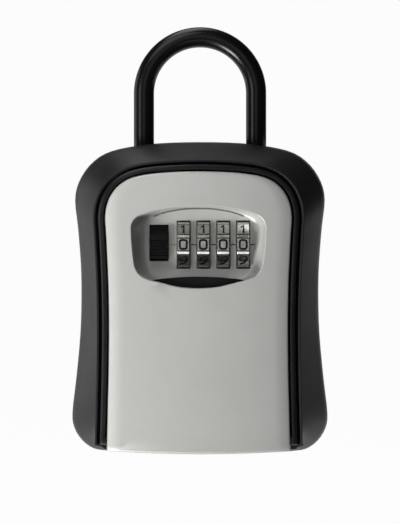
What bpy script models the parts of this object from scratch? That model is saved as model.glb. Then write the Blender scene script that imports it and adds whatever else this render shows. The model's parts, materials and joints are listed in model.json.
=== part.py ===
"""Portable key lock box with a shackle, a four-dial door and a sliding window shutter.

The origin is the centre of the flat back face. X runs to the right, the front faces -Y and Z is up.
A depth is measured forward from the back face, so a point at a depth lies at y = -depth.
"""

import math

import bmesh
import bpy
from mathutils import Matrix, Vector

mm = 0.001

# Case and bumper
CASE_NAME = "key_lock_box"
BODY_HALF_WIDTH = 50.0 * mm
BODY_HALF_HEIGHT = 60.5 * mm
BUMPER_BACK = 0.8 * mm
BUMPER_WIDEST_DEPTH = 19.0 * mm
BUMPER_REAR_ROUND = 2.4 * mm
BUMPER_EDGE_ROUND = 0.9 * mm
BUMPER_EDGE_DEPTH = 4.2 * mm
BUMPER_FRONT_DEPTH = 36.4 * mm
BUMPER_LIP_SPAN = 0.8 * mm
BUMPER_BULGE = 0.5 * mm
BUMPER_GROOVE = 0.7 * mm
BUMPER_GROOVE_DEPTH = 1.5 * mm
CASE_FIT = 0.3 * mm
CASE_WALL = 2.3 * mm
CASE_BACK = 2.5 * mm
CASE_FRONT_DEPTH = 37.2 * mm
CASE_BEAD = 0.8 * mm
CASE_BACK_CHAMFER = 0.6 * mm
CASE_FLOOR_DROP = 54.8 * mm
CASE_FOOT_DROP = 57.3 * mm
BAND_DEPTH = 26.4 * mm
FOOT_KNEE_DROP = 45.0 * mm
FOOT_WAY_LIFT = 1.4 * mm

# Door casting
DOOR_HALF_WIDTH = 35.8 * mm
DOOR_HALF_HEIGHT = 54.0 * mm
DOOR_MIDDLE_DROP = 5.9 * mm
DOOR_GAP = 0.6 * mm
DOOR_CROWN_DEPTH = 40.5 * mm
DOOR_CROWN_RADIUS = 246.0 * mm
DOOR_EDGE_ROUND = 0.9 * mm
DOOR_SKIN = 1.6 * mm
DOOR_RETURN = 1.8 * mm
DOOR_RETURN_DEPTH = 25.4 * mm
DOOR_FOOT_SKIN = 1.8 * mm
DOOR_FOOT_BACK_DROP = 16.0 * mm
DOOR_FOOT_RISE = 2.6 * mm

# Window and recess
WINDOW_MIDDLE_RISE = 19.1 * mm
WINDOW_HALF_HEIGHT = 15.6 * mm
WINDOW_HALF_WIDTH = 25.6 * mm
WINDOW_LIP_ROUND = 0.5 * mm
WINDOW_WALL = 1.6 * mm
RECESS_FLOOR_DEPTH = 31.1 * mm
RECESS_FLOOR_WALL = 1.6 * mm
RECESS_SIDE_DRAW = 5.0 * mm
RECESS_END_DRAW = 0.3 * mm
SLOT_LINE_WIDTH = 0.5 * mm
SLOT_LINE_DEPTH = 1.0 * mm
SLOT_LINE_LOWEST_SHARE = 0.76
INDEX_LINE_WIDTH = 0.4 * mm
INDEX_LINE_DEPTH = 0.3 * mm

# Dials
DIAL_COUNT = 4
DIAL_SIDES = 10
DIAL_RADIUS = 10.2 * mm
DIAL_WIDTH = 4.65 * mm
DIAL_PITCH = 7.66 * mm
DIAL_GROOVE = 1.3 * mm
DIAL_GROOVE_DEPTH = 0.55 * mm
DIALS_MIDDLE_X = 5.6 * mm
DIAL_AXIS_RISE = 20.2 * mm
DIAL_STAND = 4.6 * mm
DIAL_SLOT_FIT = 0.35 * mm
AXLE_RADIUS = 1.5 * mm
AXLE_FIT = 0.2 * mm
AXLE_OVERHANG = 0.8 * mm
CAM_RADIUS = 3.6 * mm
CAM_WIDTH = 1.8 * mm
CAM_FIT = 0.3 * mm
CAM_GATE = 1.2 * mm
CAM_GATE_DEPTH = 1.0 * mm

# Dial chamber and its cover
CHAMBER_WALL = 1.6 * mm
CHAMBER_FIT = 0.6 * mm
CHAMBER_END_FIT = 1.2 * mm
CHAMBER_BACK_DEPTH = 13.7 * mm
COVER_THICK = 1.2 * mm
COVER_FIT = 0.3 * mm
COVER_OVERHANG = 0.6 * mm
POST_RADIUS = 2.2 * mm
POST_RISE = 8.0 * mm
POST_BORE_RADIUS = 1.1 * mm
POST_BORE_DEPTH = 8.0 * mm
SCREW_RADIUS = 0.8 * mm
SCREW_LENGTH = 6.5 * mm
SCREW_HEAD_RADIUS = 1.9 * mm
SCREW_HEAD_HEIGHT = 1.3 * mm
SCREW_SLOT_WIDTH = 0.6 * mm
SCREW_SLOT_DEPTH = 0.6 * mm
SCREW_FIT = 0.3 * mm
INDEX_SPRING_THICK = 0.5 * mm
INDEX_FINGER_WIDTH = 3.0 * mm
INDEX_FINGER_LENGTH = 9.0 * mm
INDEX_BASE_HEIGHT = 3.4 * mm

# Release slide and bolt
SLIDE_X = -15.4 * mm
SLIDE_TRAVEL = 2.0 * mm
SLOT_HALF_WIDTH = 3.7 * mm
SLOT_TOP_RISE = 27.9 * mm
SLOT_FOOT_RISE = 13.9 * mm
BUTTON_FIT = 0.3 * mm
BUTTON_TOP_RISE = 25.6 * mm
BUTTON_FOOT_RISE = 14.7 * mm
BUTTON_STAND = 3.6 * mm
BUTTON_SLOPE = 1.7 * mm
BUTTON_SLOPE_DROP = 1.2 * mm
BUTTON_RIDGES = 6
BUTTON_RIDGE_SPAN = 6.6 * mm
BUTTON_RIDGE_WIDTH = 0.5 * mm
BUTTON_RIDGE_CUT = 0.35 * mm
BUTTON_RIDGE_MARGIN = 0.9 * mm
BUTTON_BASE_HALF_WIDTH = 4.5 * mm
BUTTON_BASE_THICK = 1.2 * mm
BUTTON_BASE_LAP = 0.9 * mm
BOLT_THICK = 1.5 * mm
BOLT_BAR_HALF_WIDTH = 2.6 * mm
BOLT_HALF_WIDTH = 4.0 * mm
BOLT_TOP_SETBACK = 0.2 * mm
BOLT_CROSS_RISE = 38.0 * mm
BOLT_CROSS_HEIGHT = 4.0 * mm
BOLT_CROSS_END = 10.0 * mm
BOLT_FOOT_RISE = 2.6 * mm
BOLT_SLOT_FIT = 0.5 * mm
STRIKE_FIT = 0.6 * mm
SLIDE_SCREW_RADIUS = 1.4 * mm
SLIDE_SCREW_HEAD_RADIUS = 2.3 * mm
SLIDE_SCREW_HEAD = 1.0 * mm
SLIDE_SCREW_RISES = (33.0 * mm, 8.2 * mm)
SLIDE_SCREW_BITE = 0.8 * mm
RIVET_RADIUS = 1.2 * mm
RIVET_HEAD_RADIUS = 2.0 * mm
RIVET_HEAD = 0.7 * mm
SPRING_X = 7.6 * mm
SPRING_RADIUS = 1.45 * mm
SPRING_WIRE_RADIUS = 0.25 * mm
SPRING_FOOT_FIT = 0.16 * mm
SPRING_TURNS = 3
SPRING_TURN_POINTS = 10

# Code reset lever
RESET_X = 9.0 * mm
RESET_RISE = 11.0 * mm
RESET_TRAVEL = 4.0 * mm
RESET_BASE_HALF_WIDTH = 3.4 * mm
RESET_BASE_HALF_HEIGHT = 1.9 * mm
RESET_BASE_THICK = 1.0 * mm
RESET_STEM_HALF = 1.0 * mm
RESET_KNOB_HALF_WIDTH = 1.6 * mm
RESET_KNOB_HALF_HEIGHT = 2.2 * mm
RESET_KNOB_THICK = 1.8 * mm

# Shutter
SHUTTER_THICK = 1.2 * mm
SHUTTER_FIT = 0.3 * mm
SHUTTER_TRAVEL = 27.2 * mm
SHUTTER_BLADE_HALF_WIDTH = 22.6 * mm
SHUTTER_SKIRT_HALF_WIDTH = 27.5 * mm
SHUTTER_TOP_RISE = 7.9 * mm
SHUTTER_TOP_DROP = 2.1 * mm
SHUTTER_SHOULDER_DROP = 25.4 * mm
SHUTTER_FOOT_DROP = 43.0 * mm
SHUTTER_SLANT = 0.1 * mm
CHANNEL_FIT = 0.2 * mm
STOP_HALF_WIDTH = 10.0 * mm
RAIL_THICK = 1.0 * mm
RAIL_TOP_RISE = 3.0 * mm
RAIL_FOOT_DROP = 45.0 * mm
GUIDE_THICK = 1.0 * mm
GUIDE_TOP_DROP = 4.0 * mm
GUIDE_FOOT_DROP = 22.0 * mm
GUIDE_HALF_WIDTH = 31.8 * mm
GUIDE_SCREW_X = 30.2 * mm
GUIDE_SCREW_DROP = 13.0 * mm
GUIDE_POST_RADIUS = 1.7 * mm
GUIDE_SCREW_LENGTH = 2.8 * mm
GUIDE_SCREW_SKIN = 1.0 * mm

# Hinge
HINGE_DEPTH = 33.5 * mm
HINGE_DROP = 54.5 * mm
HINGE_PIN_RADIUS = 1.5 * mm
HINGE_PIN_FIT = 0.15 * mm
HINGE_KNUCKLE_RADIUS = 2.7 * mm
HINGE_KNUCKLE_WIDTH = 5.0 * mm
CASE_KNUCKLE_X = 18.5 * mm
HINGE_SIDE_FIT = 0.4 * mm
HINGE_PIN_OVERHANG = 0.8 * mm

# Shackle and its latch
SHACKLE_HALF_SPACING = 22.1 * mm
SHACKLE_DEPTH = 15.0 * mm
SLEEVE_RADIUS = 4.0 * mm
SLEEVE_FIT = 0.3 * mm
SHACKLE_ROD_RADIUS = 3.1 * mm
SHACKLE_TOP_RISE = 106.0 * mm
SLEEVE_CASE_FIT = 0.6 * mm
SHACKLE_FOOT_RISE = 38.4 * mm
SHACKLE_BORE_FIT = 0.35 * mm
SHACKLE_TRAVEL = 25.0 * mm
SHACKLE_NOTCH_KEEP = 1.1 * mm
BLOCK_HALF_WIDTH = 29.5 * mm
BLOCK_FOOT_RISE = 37.4 * mm
BLOCK_DEPTH = 22.6 * mm
LATCH_THICK = 2.4 * mm
LATCH_RISE = 41.6 * mm
LATCH_TRAVEL = 2.0 * mm
LATCH_FIT = 0.3 * mm
LATCH_END_WIDTH = 1.6 * mm
LATCH_ENTRY = 0.4 * mm
LATCH_BACK_DEPTH = 9.4 * mm
LATCH_TAB_HALF_WIDTH = 3.0 * mm
LATCH_TAB_REACH = 1.6 * mm
LATCH_COVER_THICK = 0.9 * mm
LATCH_COVER_HALF_WIDTH = 18.0 * mm
LATCH_COVER_FOOT_RISE = 38.2 * mm
LATCH_COVER_TOP_RISE = 46.9 * mm
LATCH_SCREW_X = 14.0 * mm
LATCH_SCREW_RISE = 44.6 * mm
LATCH_SCREW_LENGTH = 5.0 * mm
LATCH_SCREW_HEAD = 0.9 * mm

# Cutting
OVERRUN = 2.0 * mm
SMALL_OVERRUN = 0.4 * mm
WELD = 0.001 * mm

ROUND_STEPS = 32
SMALL_ROUND_STEPS = 16
OUTLINE_STEPS = 3
CROWN_COLUMNS = 14

# Half outlines, right side, from the top centre to the foot centre, as shares of half width and half height.
# Both have a corner at FOOT_CORNER_COUNT, where the side meets the foot.
FOOT_CORNER_COUNT = 16
BODY_SHARES = (
    (0.000, 1.000), (0.316, 0.993), (0.560, 0.968), (0.740, 0.927), (0.866, 0.849), (0.951, 0.738),
    (0.979, 0.620), (0.956, 0.445), (0.934, 0.210), (0.929, 0.000), (0.938, -0.248), (0.970, -0.532),
    (1.000, -0.752), (0.985, -0.850), (0.922, -0.933), (0.830, -0.986), (0.720, -1.000),
    (0.360, -1.000), (0.000, -1.000),
)
DOOR_SHARES = (
    (0.000, 1.000), (0.330, 0.993), (0.575, 0.977), (0.750, 0.946), (0.882, 0.885), (0.965, 0.798),
    (1.000, 0.690), (0.990, 0.553), (0.970, 0.294), (0.961, 0.090), (0.958, -0.150), (0.964, -0.465),
    (0.972, -0.675), (0.975, -0.780), (0.978, -0.862), (0.980, -0.924), (0.981, -0.982),
    (0.500, -0.995), (0.000, -1.000),
)
# The window's half outline, in shares of its half width and half height.
WINDOW_SHARES = (
    (0.000, 1.000), (0.300, 0.985), (0.600, 0.915), (0.800, 0.830), (0.920, 0.740), (0.985, 0.600),
    (1.000, 0.440), (0.990, 0.100), (0.965, -0.300), (0.940, -0.500), (0.880, -0.660), (0.780, -0.765),
    (0.600, -0.845), (0.300, -0.965), (0.000, -1.000),
)

SATIN_SILVER = ("satin_silver", (0.52, 0.52, 0.50, 1.0), 0.38, 0.75)
CASE_BLACK = ("case_black", (0.012, 0.012, 0.013, 1.0), 0.28, 0.3)
BUMPER_BLACK = ("bumper_black", (0.02, 0.02, 0.021, 1.0), 0.5, 0.0)
GLOSS_BLACK = ("gloss_black", (0.006, 0.006, 0.006, 1.0), 0.15, 0.0)
SHUTTER_BLACK = ("shutter_black", (0.010, 0.010, 0.010, 1.0), 0.4, 0.0)
PLATED = ("plated", (0.62, 0.60, 0.57, 1.0), 0.2, 1.0)
ZINC_STEEL = ("zinc_steel", (0.55, 0.56, 0.57, 1.0), 0.35, 1.0)
BRASS = ("brass", (0.60, 0.42, 0.16, 1.0), 0.32, 1.0)


def clear_scene():
    """Remove whatever the scene holds."""
    for item in list(bpy.data.objects):
        bpy.data.objects.remove(item, do_unlink=True)


def collection(name):
    """Return a collection of that name, linked into the scene."""
    made = bpy.data.collections.new(name)
    bpy.context.scene.collection.children.link(made)
    return made


clear_scene()
PARTS = collection(CASE_NAME)
CUTTERS = collection("cutters")
MATERIALS = {}


def material(finish):
    """Return the material of a finish, making it on its first use."""
    name, colour, roughness, metallic = finish
    if name not in MATERIALS:
        made = bpy.data.materials.new(name)
        made.use_nodes = True
        shader = made.node_tree.nodes["Principled BSDF"]
        shader.inputs["Base Color"].default_value = colour
        shader.inputs["Roughness"].default_value = roughness
        shader.inputs["Metallic"].default_value = metallic
        MATERIALS[name] = made
    return MATERIALS[name]


def at(x, depth, rise):
    """Return the point at a depth in front of the back face."""
    return Vector((x, -depth, rise))


def object_of(bm, name, origin=None):
    """Make an object in the cutters' collection from a bmesh, with its origin at a point."""
    place = origin or Vector((0, 0, 0))
    bmesh.ops.translate(bm, verts=bm.verts, vec=-place)
    bmesh.ops.recalc_face_normals(bm, faces=bm.faces)
    mesh = bpy.data.meshes.new(name)
    bm.to_mesh(mesh)
    bm.free()
    made = bpy.data.objects.new(name, mesh)
    made.location = place
    CUTTERS.objects.link(made)
    made.hide_render = True
    made.display_type = "WIRE"
    return made


def finish_part(made, finish, smooth_angle=None):
    """Move an object to the part's collection, with its material and shading."""
    CUTTERS.objects.unlink(made)
    PARTS.objects.link(made)
    made.hide_render = False
    made.display_type = "SOLID"
    made.data.materials.append(material(finish))
    if smooth_angle:
        made.data.shade_smooth()
        made.data.set_sharp_from_angle(angle=smooth_angle)
    return made


def block(name, low, high, origin=None):
    """Make a box between two corners, each given as x, depth and rise."""
    a = at(*low)
    b = at(*high)
    size = Vector((abs(b.x - a.x), abs(b.y - a.y), abs(b.z - a.z)))
    matrix = Matrix.Translation((a + b) / 2) @ Matrix.Diagonal(size.to_4d())
    bm = bmesh.new()
    bmesh.ops.create_cube(bm, size=1.0, matrix=matrix)
    return object_of(bm, name, origin)


def rod(name, start, end, radius, steps=ROUND_STEPS, origin=None, end_radius=None):
    """Make a round rod, or a cone where the end radius differs, between two points."""
    run = end - start
    turn = run.to_track_quat("Z", "Y").to_matrix().to_4x4()
    bm = bmesh.new()
    bmesh.ops.create_cone(
        bm,
        cap_ends=True,
        segments=steps,
        radius1=radius,
        radius2=end_radius or radius,
        depth=run.length,
        matrix=Matrix.Translation((start + end) / 2) @ turn,
    )
    return object_of(bm, name, origin)


def joined(bm_rings, name, origin=None, cap=True):
    """Skin a row of rings that have as many points each, and cap both ends."""
    bm = bmesh.new()
    rows = [[bm.verts.new(point) for point in ring] for ring in bm_rings]
    for first, second in zip(rows, rows[1:]):
        count = len(first)
        for i in range(count):
            j = (i + 1) % count
            bm.faces.new((first[i], first[j], second[j], second[i]))
    if cap:
        bm.faces.new(rows[0])
        bm.faces.new(rows[-1])
    return object_of(bm, name, origin)


def plate(name, outline, back_depth, front_depth, origin=None):
    """Make a flat plate from a 2D curve: its outline is in x and rise, its faces at two depths."""
    curve = bpy.data.curves.new(name, "CURVE")
    curve.dimensions = "2D"
    curve.fill_mode = "BOTH"
    curve.extrude = abs(front_depth - back_depth) / 2
    line = curve.splines.new("POLY")
    line.points.add(len(outline) - 1)
    for point, (x, rise) in zip(line.points, outline):
        point.co = (x, rise, 0, 1)
    line.use_cyclic_u = True
    holder = bpy.data.objects.new(name, curve)
    CUTTERS.objects.link(holder)
    stand = Matrix.Rotation(math.radians(90), 4, "X")
    holder.matrix_world = Matrix.Translation(at(0, (back_depth + front_depth) / 2, 0)) @ stand
    return mesh_of_curve(holder, name, origin)


def mesh_of_curve(holder, name, origin=None):
    """Turn a curve object into a closed mesh object, and remove the curve."""
    bpy.context.view_layer.update()
    graph = bpy.context.evaluated_depsgraph_get()
    mesh = bpy.data.meshes.new_from_object(holder.evaluated_get(graph))
    bm = bmesh.new()
    bm.from_mesh(mesh)
    bm.transform(holder.matrix_world)
    bmesh.ops.remove_doubles(bm, verts=bm.verts, dist=WELD)
    bpy.data.objects.remove(holder, do_unlink=True)
    bpy.data.meshes.remove(mesh)
    return object_of(bm, name, origin)


def tube(name, points, radius, resolution, origin=None):
    """Make a round tube along a row of points."""
    curve = bpy.data.curves.new(name, "CURVE")
    curve.dimensions = "3D"
    curve.bevel_depth = radius
    curve.bevel_resolution = resolution
    curve.use_fill_caps = True
    line = curve.splines.new("POLY")
    line.points.add(len(points) - 1)
    for point, place in zip(line.points, points):
        point.co = place.to_4d()
    holder = bpy.data.objects.new(name, curve)
    CUTTERS.objects.link(holder)
    return mesh_of_curve(holder, name, origin)


def change(target, tool, operation):
    """Add a Boolean of the tool object to the target."""
    modifier = target.modifiers.new(tool.name, "BOOLEAN")
    modifier.operation = operation
    modifier.solver = "EXACT"
    modifier.object = tool
    return target


def cut(target, *tools):
    """Cut each tool out of the target."""
    for tool in tools:
        change(target, tool, "DIFFERENCE")
    return target


def add(target, *tools):
    """Join each tool to the target."""
    for tool in tools:
        change(target, tool, "UNION")
    return target


def through_points(points, steps):
    """Return a smooth line through the inner points; the first and last only set its direction."""
    line = []
    for i in range(1, len(points) - 2):
        before, start, end, after = (Vector(p) for p in points[i - 1:i + 3])
        for k in range(steps):
            t = k / steps
            line.append(
                0.5
                * (
                    2 * start
                    + (end - before) * t
                    + (2 * before - 5 * start + 4 * end - after) * t ** 2
                    + (3 * start - before - 3 * end + after) * t ** 3
                )
            )
    line.append(Vector(points[-2]))
    return line


def outline(shares, half_width, half_height, middle_rise, corner=None, steps=OUTLINE_STEPS):
    """Return a closed outline from its half: right side down from the top, then left side up."""
    stations = [Vector((x * half_width, middle_rise + z * half_height)) for x, z in shares]
    mirrored_start = Vector((-stations[1].x, stations[1].y))
    mirrored_end = Vector((-stations[-2].x, stations[-2].y))
    if corner is None:
        half = through_points([mirrored_start] + stations + [mirrored_end], steps)
    else:
        side = stations[:corner + 1]
        foot = stations[corner:]
        side_end = 2 * side[-1] - side[-2]
        foot_start = 2 * foot[0] - foot[1]
        half = through_points([mirrored_start] + side + [side_end], steps)[:-1]
        half += through_points([foot_start] + foot + [mirrored_end], steps)
    return half + [Vector((-p.x, p.y)) for p in reversed(half[1:-1])]


def offset(points, distance):
    """Move an outline outwards by a distance, with mitred corners."""
    moved = []
    count = len(points)
    for i, point in enumerate(points):
        into = (point - points[i - 1]).normalized()
        onto = (points[(i + 1) % count] - point).normalized()
        first = Vector((-into.y, into.x))
        second = Vector((-onto.y, onto.x))
        moved.append(point + (first + second) * distance / (1 + first.dot(second)))
    return moved


def drawn_in(points, distance):
    """Draw an outline in towards its middle, by a distance at its widest and tallest."""
    wide = max(p.x for p in points)
    top = max(p.y for p in points)
    foot = min(p.y for p in points)
    middle = (top + foot) / 2
    x_share = 1 - distance / wide
    y_share = 1 - 2 * distance / (top - foot)
    return [Vector((p.x * x_share, middle + (p.y - middle) * y_share)) for p in points]


def lifted_foot(points, foot_drop):
    """Squeeze an outline below the knee so that its lowest point is at the foot's drop."""
    lowest = -min(p.y for p in points)
    share = (foot_drop - FOOT_KNEE_DROP) / (lowest - FOOT_KNEE_DROP)
    return [
        Vector((p.x, p.y if p.y > -FOOT_KNEE_DROP else -FOOT_KNEE_DROP + (p.y + FOOT_KNEE_DROP) * share))
        for p in points
    ]


def blended(first, second, share):
    """Return the outline that lies a share of the way from one outline to another."""
    return [a.lerp(b, share) for a, b in zip(first, second)]


def ring(points, depth):
    """Stand an outline up at a depth."""
    return [at(p.x, depth, p.y) for p in points]


def crown_depth(x, drop=0.0):
    """Return the depth of the door's crowned face at x, or of a face that lies a drop behind it."""
    radius = DOOR_CROWN_RADIUS - drop
    return DOOR_CROWN_DEPTH - DOOR_CROWN_RADIUS + math.sqrt(radius ** 2 - x ** 2)


def crowned_solid(name, points, back_depth, drop, edge_round, origin=None):
    """Make a solid with a flat back and a face that follows the door's crown, a drop behind it.

    Its outline has as many points on the right as on the left, so each row of the face joins a pair.
    """
    bm = bmesh.new()
    rings = [[bm.verts.new(p) for p in ring(points, back_depth)]]
    rounds = ((0.0, 1.0), (0.3, 0.3), (1.0, 0.0)) if edge_round else ((0.0, 0.0),)
    for inset_share, lower_share in rounds:
        moved = offset(points, -inset_share * edge_round) if edge_round else points
        rings.append([bm.verts.new(at(p.x, crown_depth(p.x, drop) - lower_share * edge_round, p.y)) for p in moved])
    count = len(points)
    for first, second in zip(rings, rings[1:]):
        for i in range(count):
            j = (i + 1) % count
            bm.faces.new((first[i], first[j], second[j], second[i]))
    bm.faces.new(rings[0])
    front = rings[-1]
    rows = []
    for j in range(1, count // 2):
        right = front[j]
        left = front[count - j]
        row = [left]
        for k in range(1, CROWN_COLUMNS):
            place = left.co.lerp(right.co, k / CROWN_COLUMNS)
            row.append(bm.verts.new((place.x, -crown_depth(place.x, drop), place.z)))
        rows.append(row + [right])
    for k in range(CROWN_COLUMNS):
        bm.faces.new((front[0], rows[0][k], rows[0][k + 1]))
        bm.faces.new((front[count // 2], rows[-1][k + 1], rows[-1][k]))
        for upper, lower in zip(rows, rows[1:]):
            bm.faces.new((upper[k], lower[k], lower[k + 1], upper[k + 1]))
    return object_of(bm, name, origin)


def curved_plate(name, sides, back_drop, front_drop, origin=None):
    """Make a plate that follows the door's crown, between two drops behind its face.

    sides lists x, foot and top for a row of upright cuts, from left to right.
    """
    bm = bmesh.new()
    rows = []
    for x, foot, top in sides:
        front = crown_depth(x, front_drop)
        back = crown_depth(x, back_drop)
        corners = (at(x, back, foot), at(x, front, foot), at(x, front, top), at(x, back, top))
        rows.append([bm.verts.new(p) for p in corners])
    for first, second in zip(rows, rows[1:]):
        for i in range(4):
            j = (i + 1) % 4
            bm.faces.new((first[i], first[j], second[j], second[i]))
    bm.faces.new(rows[0])
    bm.faces.new(rows[-1])
    return object_of(bm, name, origin)


def even_sides(half_width, foot, top, count=CROWN_COLUMNS):
    """Return the upright cuts of a plate with level ends."""
    return [(half_width * (2 * i / count - 1), foot, top) for i in range(count + 1)]


def pivot(name, place):
    """Make an empty on a joint's axis."""
    made = bpy.data.objects.new(name, None)
    made.location = place
    made.empty_display_size = DIAL_RADIUS
    PARTS.objects.link(made)
    return made


def carry(holder, *pieces):
    """Parent pieces to a holder without moving them."""
    for piece in pieces:
        piece.parent = holder
        piece.matrix_parent_inverse = Matrix.Translation(holder.location).inverted()


def screw(name, place, direction, shank_radius, length, head_radius, head_height, finish):
    """Make a slotted pan-head screw: its head stands back from the place, its shank runs on."""
    heading = direction.normalized()
    head = rod(name, place, place - heading * head_height, head_radius, SMALL_ROUND_STEPS, place)
    shank = rod(name + "_shank", place - heading * head_height / 2, place + heading * length, shank_radius,
                SMALL_ROUND_STEPS)
    top = place - heading * (head_height + OVERRUN)
    bottom = place - heading * (head_height - min(SCREW_SLOT_DEPTH, head_height / 2))
    side = Vector((head_radius + OVERRUN, 0, 0))
    up = Vector((0, 0, SCREW_SLOT_WIDTH / 2))
    low = top - side - up
    high = bottom + side + up
    slot = block(name + "_slot", (low.x, -low.y, low.z), (high.x, -high.y, high.z))
    add(head, shank)
    cut(head, slot)
    return finish_part(head, finish)


BODY = outline(BODY_SHARES, BODY_HALF_WIDTH, BODY_HALF_HEIGHT, 0.0, FOOT_CORNER_COUNT)
DOOR = outline(DOOR_SHARES, DOOR_HALF_WIDTH, DOOR_HALF_HEIGHT, -DOOR_MIDDLE_DROP, FOOT_CORNER_COUNT)
WINDOW = outline(WINDOW_SHARES, WINDOW_HALF_WIDTH, WINDOW_HALF_HEIGHT, WINDOW_MIDDLE_RISE)
CAVITY = lifted_foot(offset(DOOR, DOOR_GAP), CASE_FLOOR_DROP)
CASE = lifted_foot(offset(DOOR, DOOR_GAP + CASE_WALL), CASE_FOOT_DROP)
POCKET = lifted_foot(offset(DOOR, DOOR_GAP + CASE_WALL + CASE_FIT), CASE_FOOT_DROP + CASE_FIT)

DOOR_TOP_RISE = DOOR_HALF_HEIGHT - DOOR_MIDDLE_DROP
SLEEVE_FOOT_RISE = DOOR_TOP_RISE + DOOR_GAP + CASE_WALL + SLEEVE_CASE_FIT
DIAL_SWING = math.hypot(DIAL_RADIUS, DIAL_RADIUS * math.tan(math.pi / DIAL_SIDES) - DIAL_GROOVE / 2)
DIAL_AXIS_DEPTH = RECESS_FLOOR_DEPTH + DIAL_STAND - DIAL_RADIUS
TROUGH_BACK_DEPTH = RECESS_FLOOR_DEPTH - RECESS_FLOOR_WALL
DIAL_XS = [DIALS_MIDDLE_X + DIAL_PITCH * (i - (DIAL_COUNT - 1) / 2) for i in range(DIAL_COUNT)]
CHAMBER_LEFT = DIAL_XS[0] - DIAL_WIDTH / 2 - CHAMBER_FIT
CHAMBER_RIGHT = DIAL_XS[-1] + DIAL_WIDTH / 2 + CAM_FIT + CAM_WIDTH + CHAMBER_FIT
CHAMBER_FOOT = DIAL_AXIS_RISE - DIAL_SWING - CHAMBER_END_FIT
CHAMBER_TOP = DIAL_AXIS_RISE + DIAL_SWING + CHAMBER_END_FIT
BASE_FRONT_DEPTH = TROUGH_BACK_DEPTH - BUTTON_FIT
BASE_BACK_DEPTH = BASE_FRONT_DEPTH - BUTTON_BASE_THICK
BOLT_FRONT_DEPTH = BASE_BACK_DEPTH - BUTTON_FIT
BOLT_BACK_DEPTH = BOLT_FRONT_DEPTH - BOLT_THICK
SHUTTER_FRONT_DROP = DOOR_SKIN + SHUTTER_FIT
SHUTTER_BACK_DROP = SHUTTER_FRONT_DROP + SHUTTER_THICK
GUIDE_FRONT_DROP = SHUTTER_BACK_DROP + SHUTTER_FIT
GUIDE_BACK_DROP = GUIDE_FRONT_DROP + GUIDE_THICK
LATCH_TOP = LATCH_RISE + LATCH_THICK / 2
LATCH_FOOT = LATCH_RISE - LATCH_THICK / 2
DOOR_KNUCKLE_X = CASE_KNUCKLE_X + HINGE_KNUCKLE_WIDTH + HINGE_SIDE_FIT
HINGE = at(0, HINGE_DEPTH, -HINGE_DROP)


def make_bumper():
    """Make the jacket: a rounded back edge, a flat side, a bevelled face and a lip round the case."""
    lip_offset = DOOR_GAP + CASE_WALL + CASE_FIT + BUMPER_GROOVE + BUMPER_LIP_SPAN
    lip = lifted_foot(offset(DOOR, lip_offset), CASE_FOOT_DROP + CASE_FIT + BUMPER_LIP_SPAN)
    rings = []
    for share in (0.0, 0.3, 0.65, 1.0):
        sink = 1 - math.sin(share * math.pi / 2)
        depth = BUMPER_BACK + BUMPER_REAR_ROUND * (1 - math.cos(share * math.pi / 2))
        rings.append(ring(offset(BODY, -BUMPER_REAR_ROUND * sink), depth))
    rings.append(ring(BODY, BUMPER_WIDEST_DEPTH))
    edge = offset(BODY, -BUMPER_EDGE_ROUND)
    edge_depth = BUMPER_WIDEST_DEPTH + BUMPER_EDGE_DEPTH
    rings.append(ring(offset(BODY, -BUMPER_EDGE_ROUND / 4), BUMPER_WIDEST_DEPTH + BUMPER_EDGE_DEPTH / 2))
    for share in (0.0, 0.1, 0.35, 0.65, 0.92, 1.0):
        depth = edge_depth + (BUMPER_FRONT_DEPTH - edge_depth) * share
        rings.append(ring(blended(edge, lip, share), depth + BUMPER_BULGE * math.sin(math.pi * share)))
    bumper = joined(rings, "bumper")
    groove = offset(POCKET, BUMPER_GROOVE)
    hollow = joined(
        [
            ring(POCKET, -OVERRUN),
            ring(POCKET, BUMPER_FRONT_DEPTH - BUMPER_GROOVE_DEPTH),
            ring(groove, BUMPER_FRONT_DEPTH - BUMPER_GROOVE_DEPTH / 2),
            ring(groove, BUMPER_FRONT_DEPTH + OVERRUN),
        ],
        "bumper_hollow",
    )
    cut(bumper, hollow)
    foot_half = max(p.x for p in lip if p.y < -CASE_FLOOR_DROP) + SMALL_OVERRUN
    foot = -BODY_HALF_HEIGHT - OVERRUN
    way = block("bumper_foot_way", (-foot_half, BAND_DEPTH, foot),
                (foot_half, BUMPER_FRONT_DEPTH + OVERRUN, -CASE_FOOT_DROP + SMALL_OVERRUN))
    cut(bumper, way)
    for side in (-1, 1):
        x = side * SHACKLE_HALF_SPACING
        hole = rod("bumper_leg_hole", at(x, SHACKLE_DEPTH, DOOR_TOP_RISE),
                   at(x, SHACKLE_DEPTH, BODY_HALF_HEIGHT + OVERRUN), SLEEVE_RADIUS + SHACKLE_BORE_FIT)
        cut(bumper, hole)
    return finish_part(bumper, BUMPER_BLACK, math.radians(32))


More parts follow.
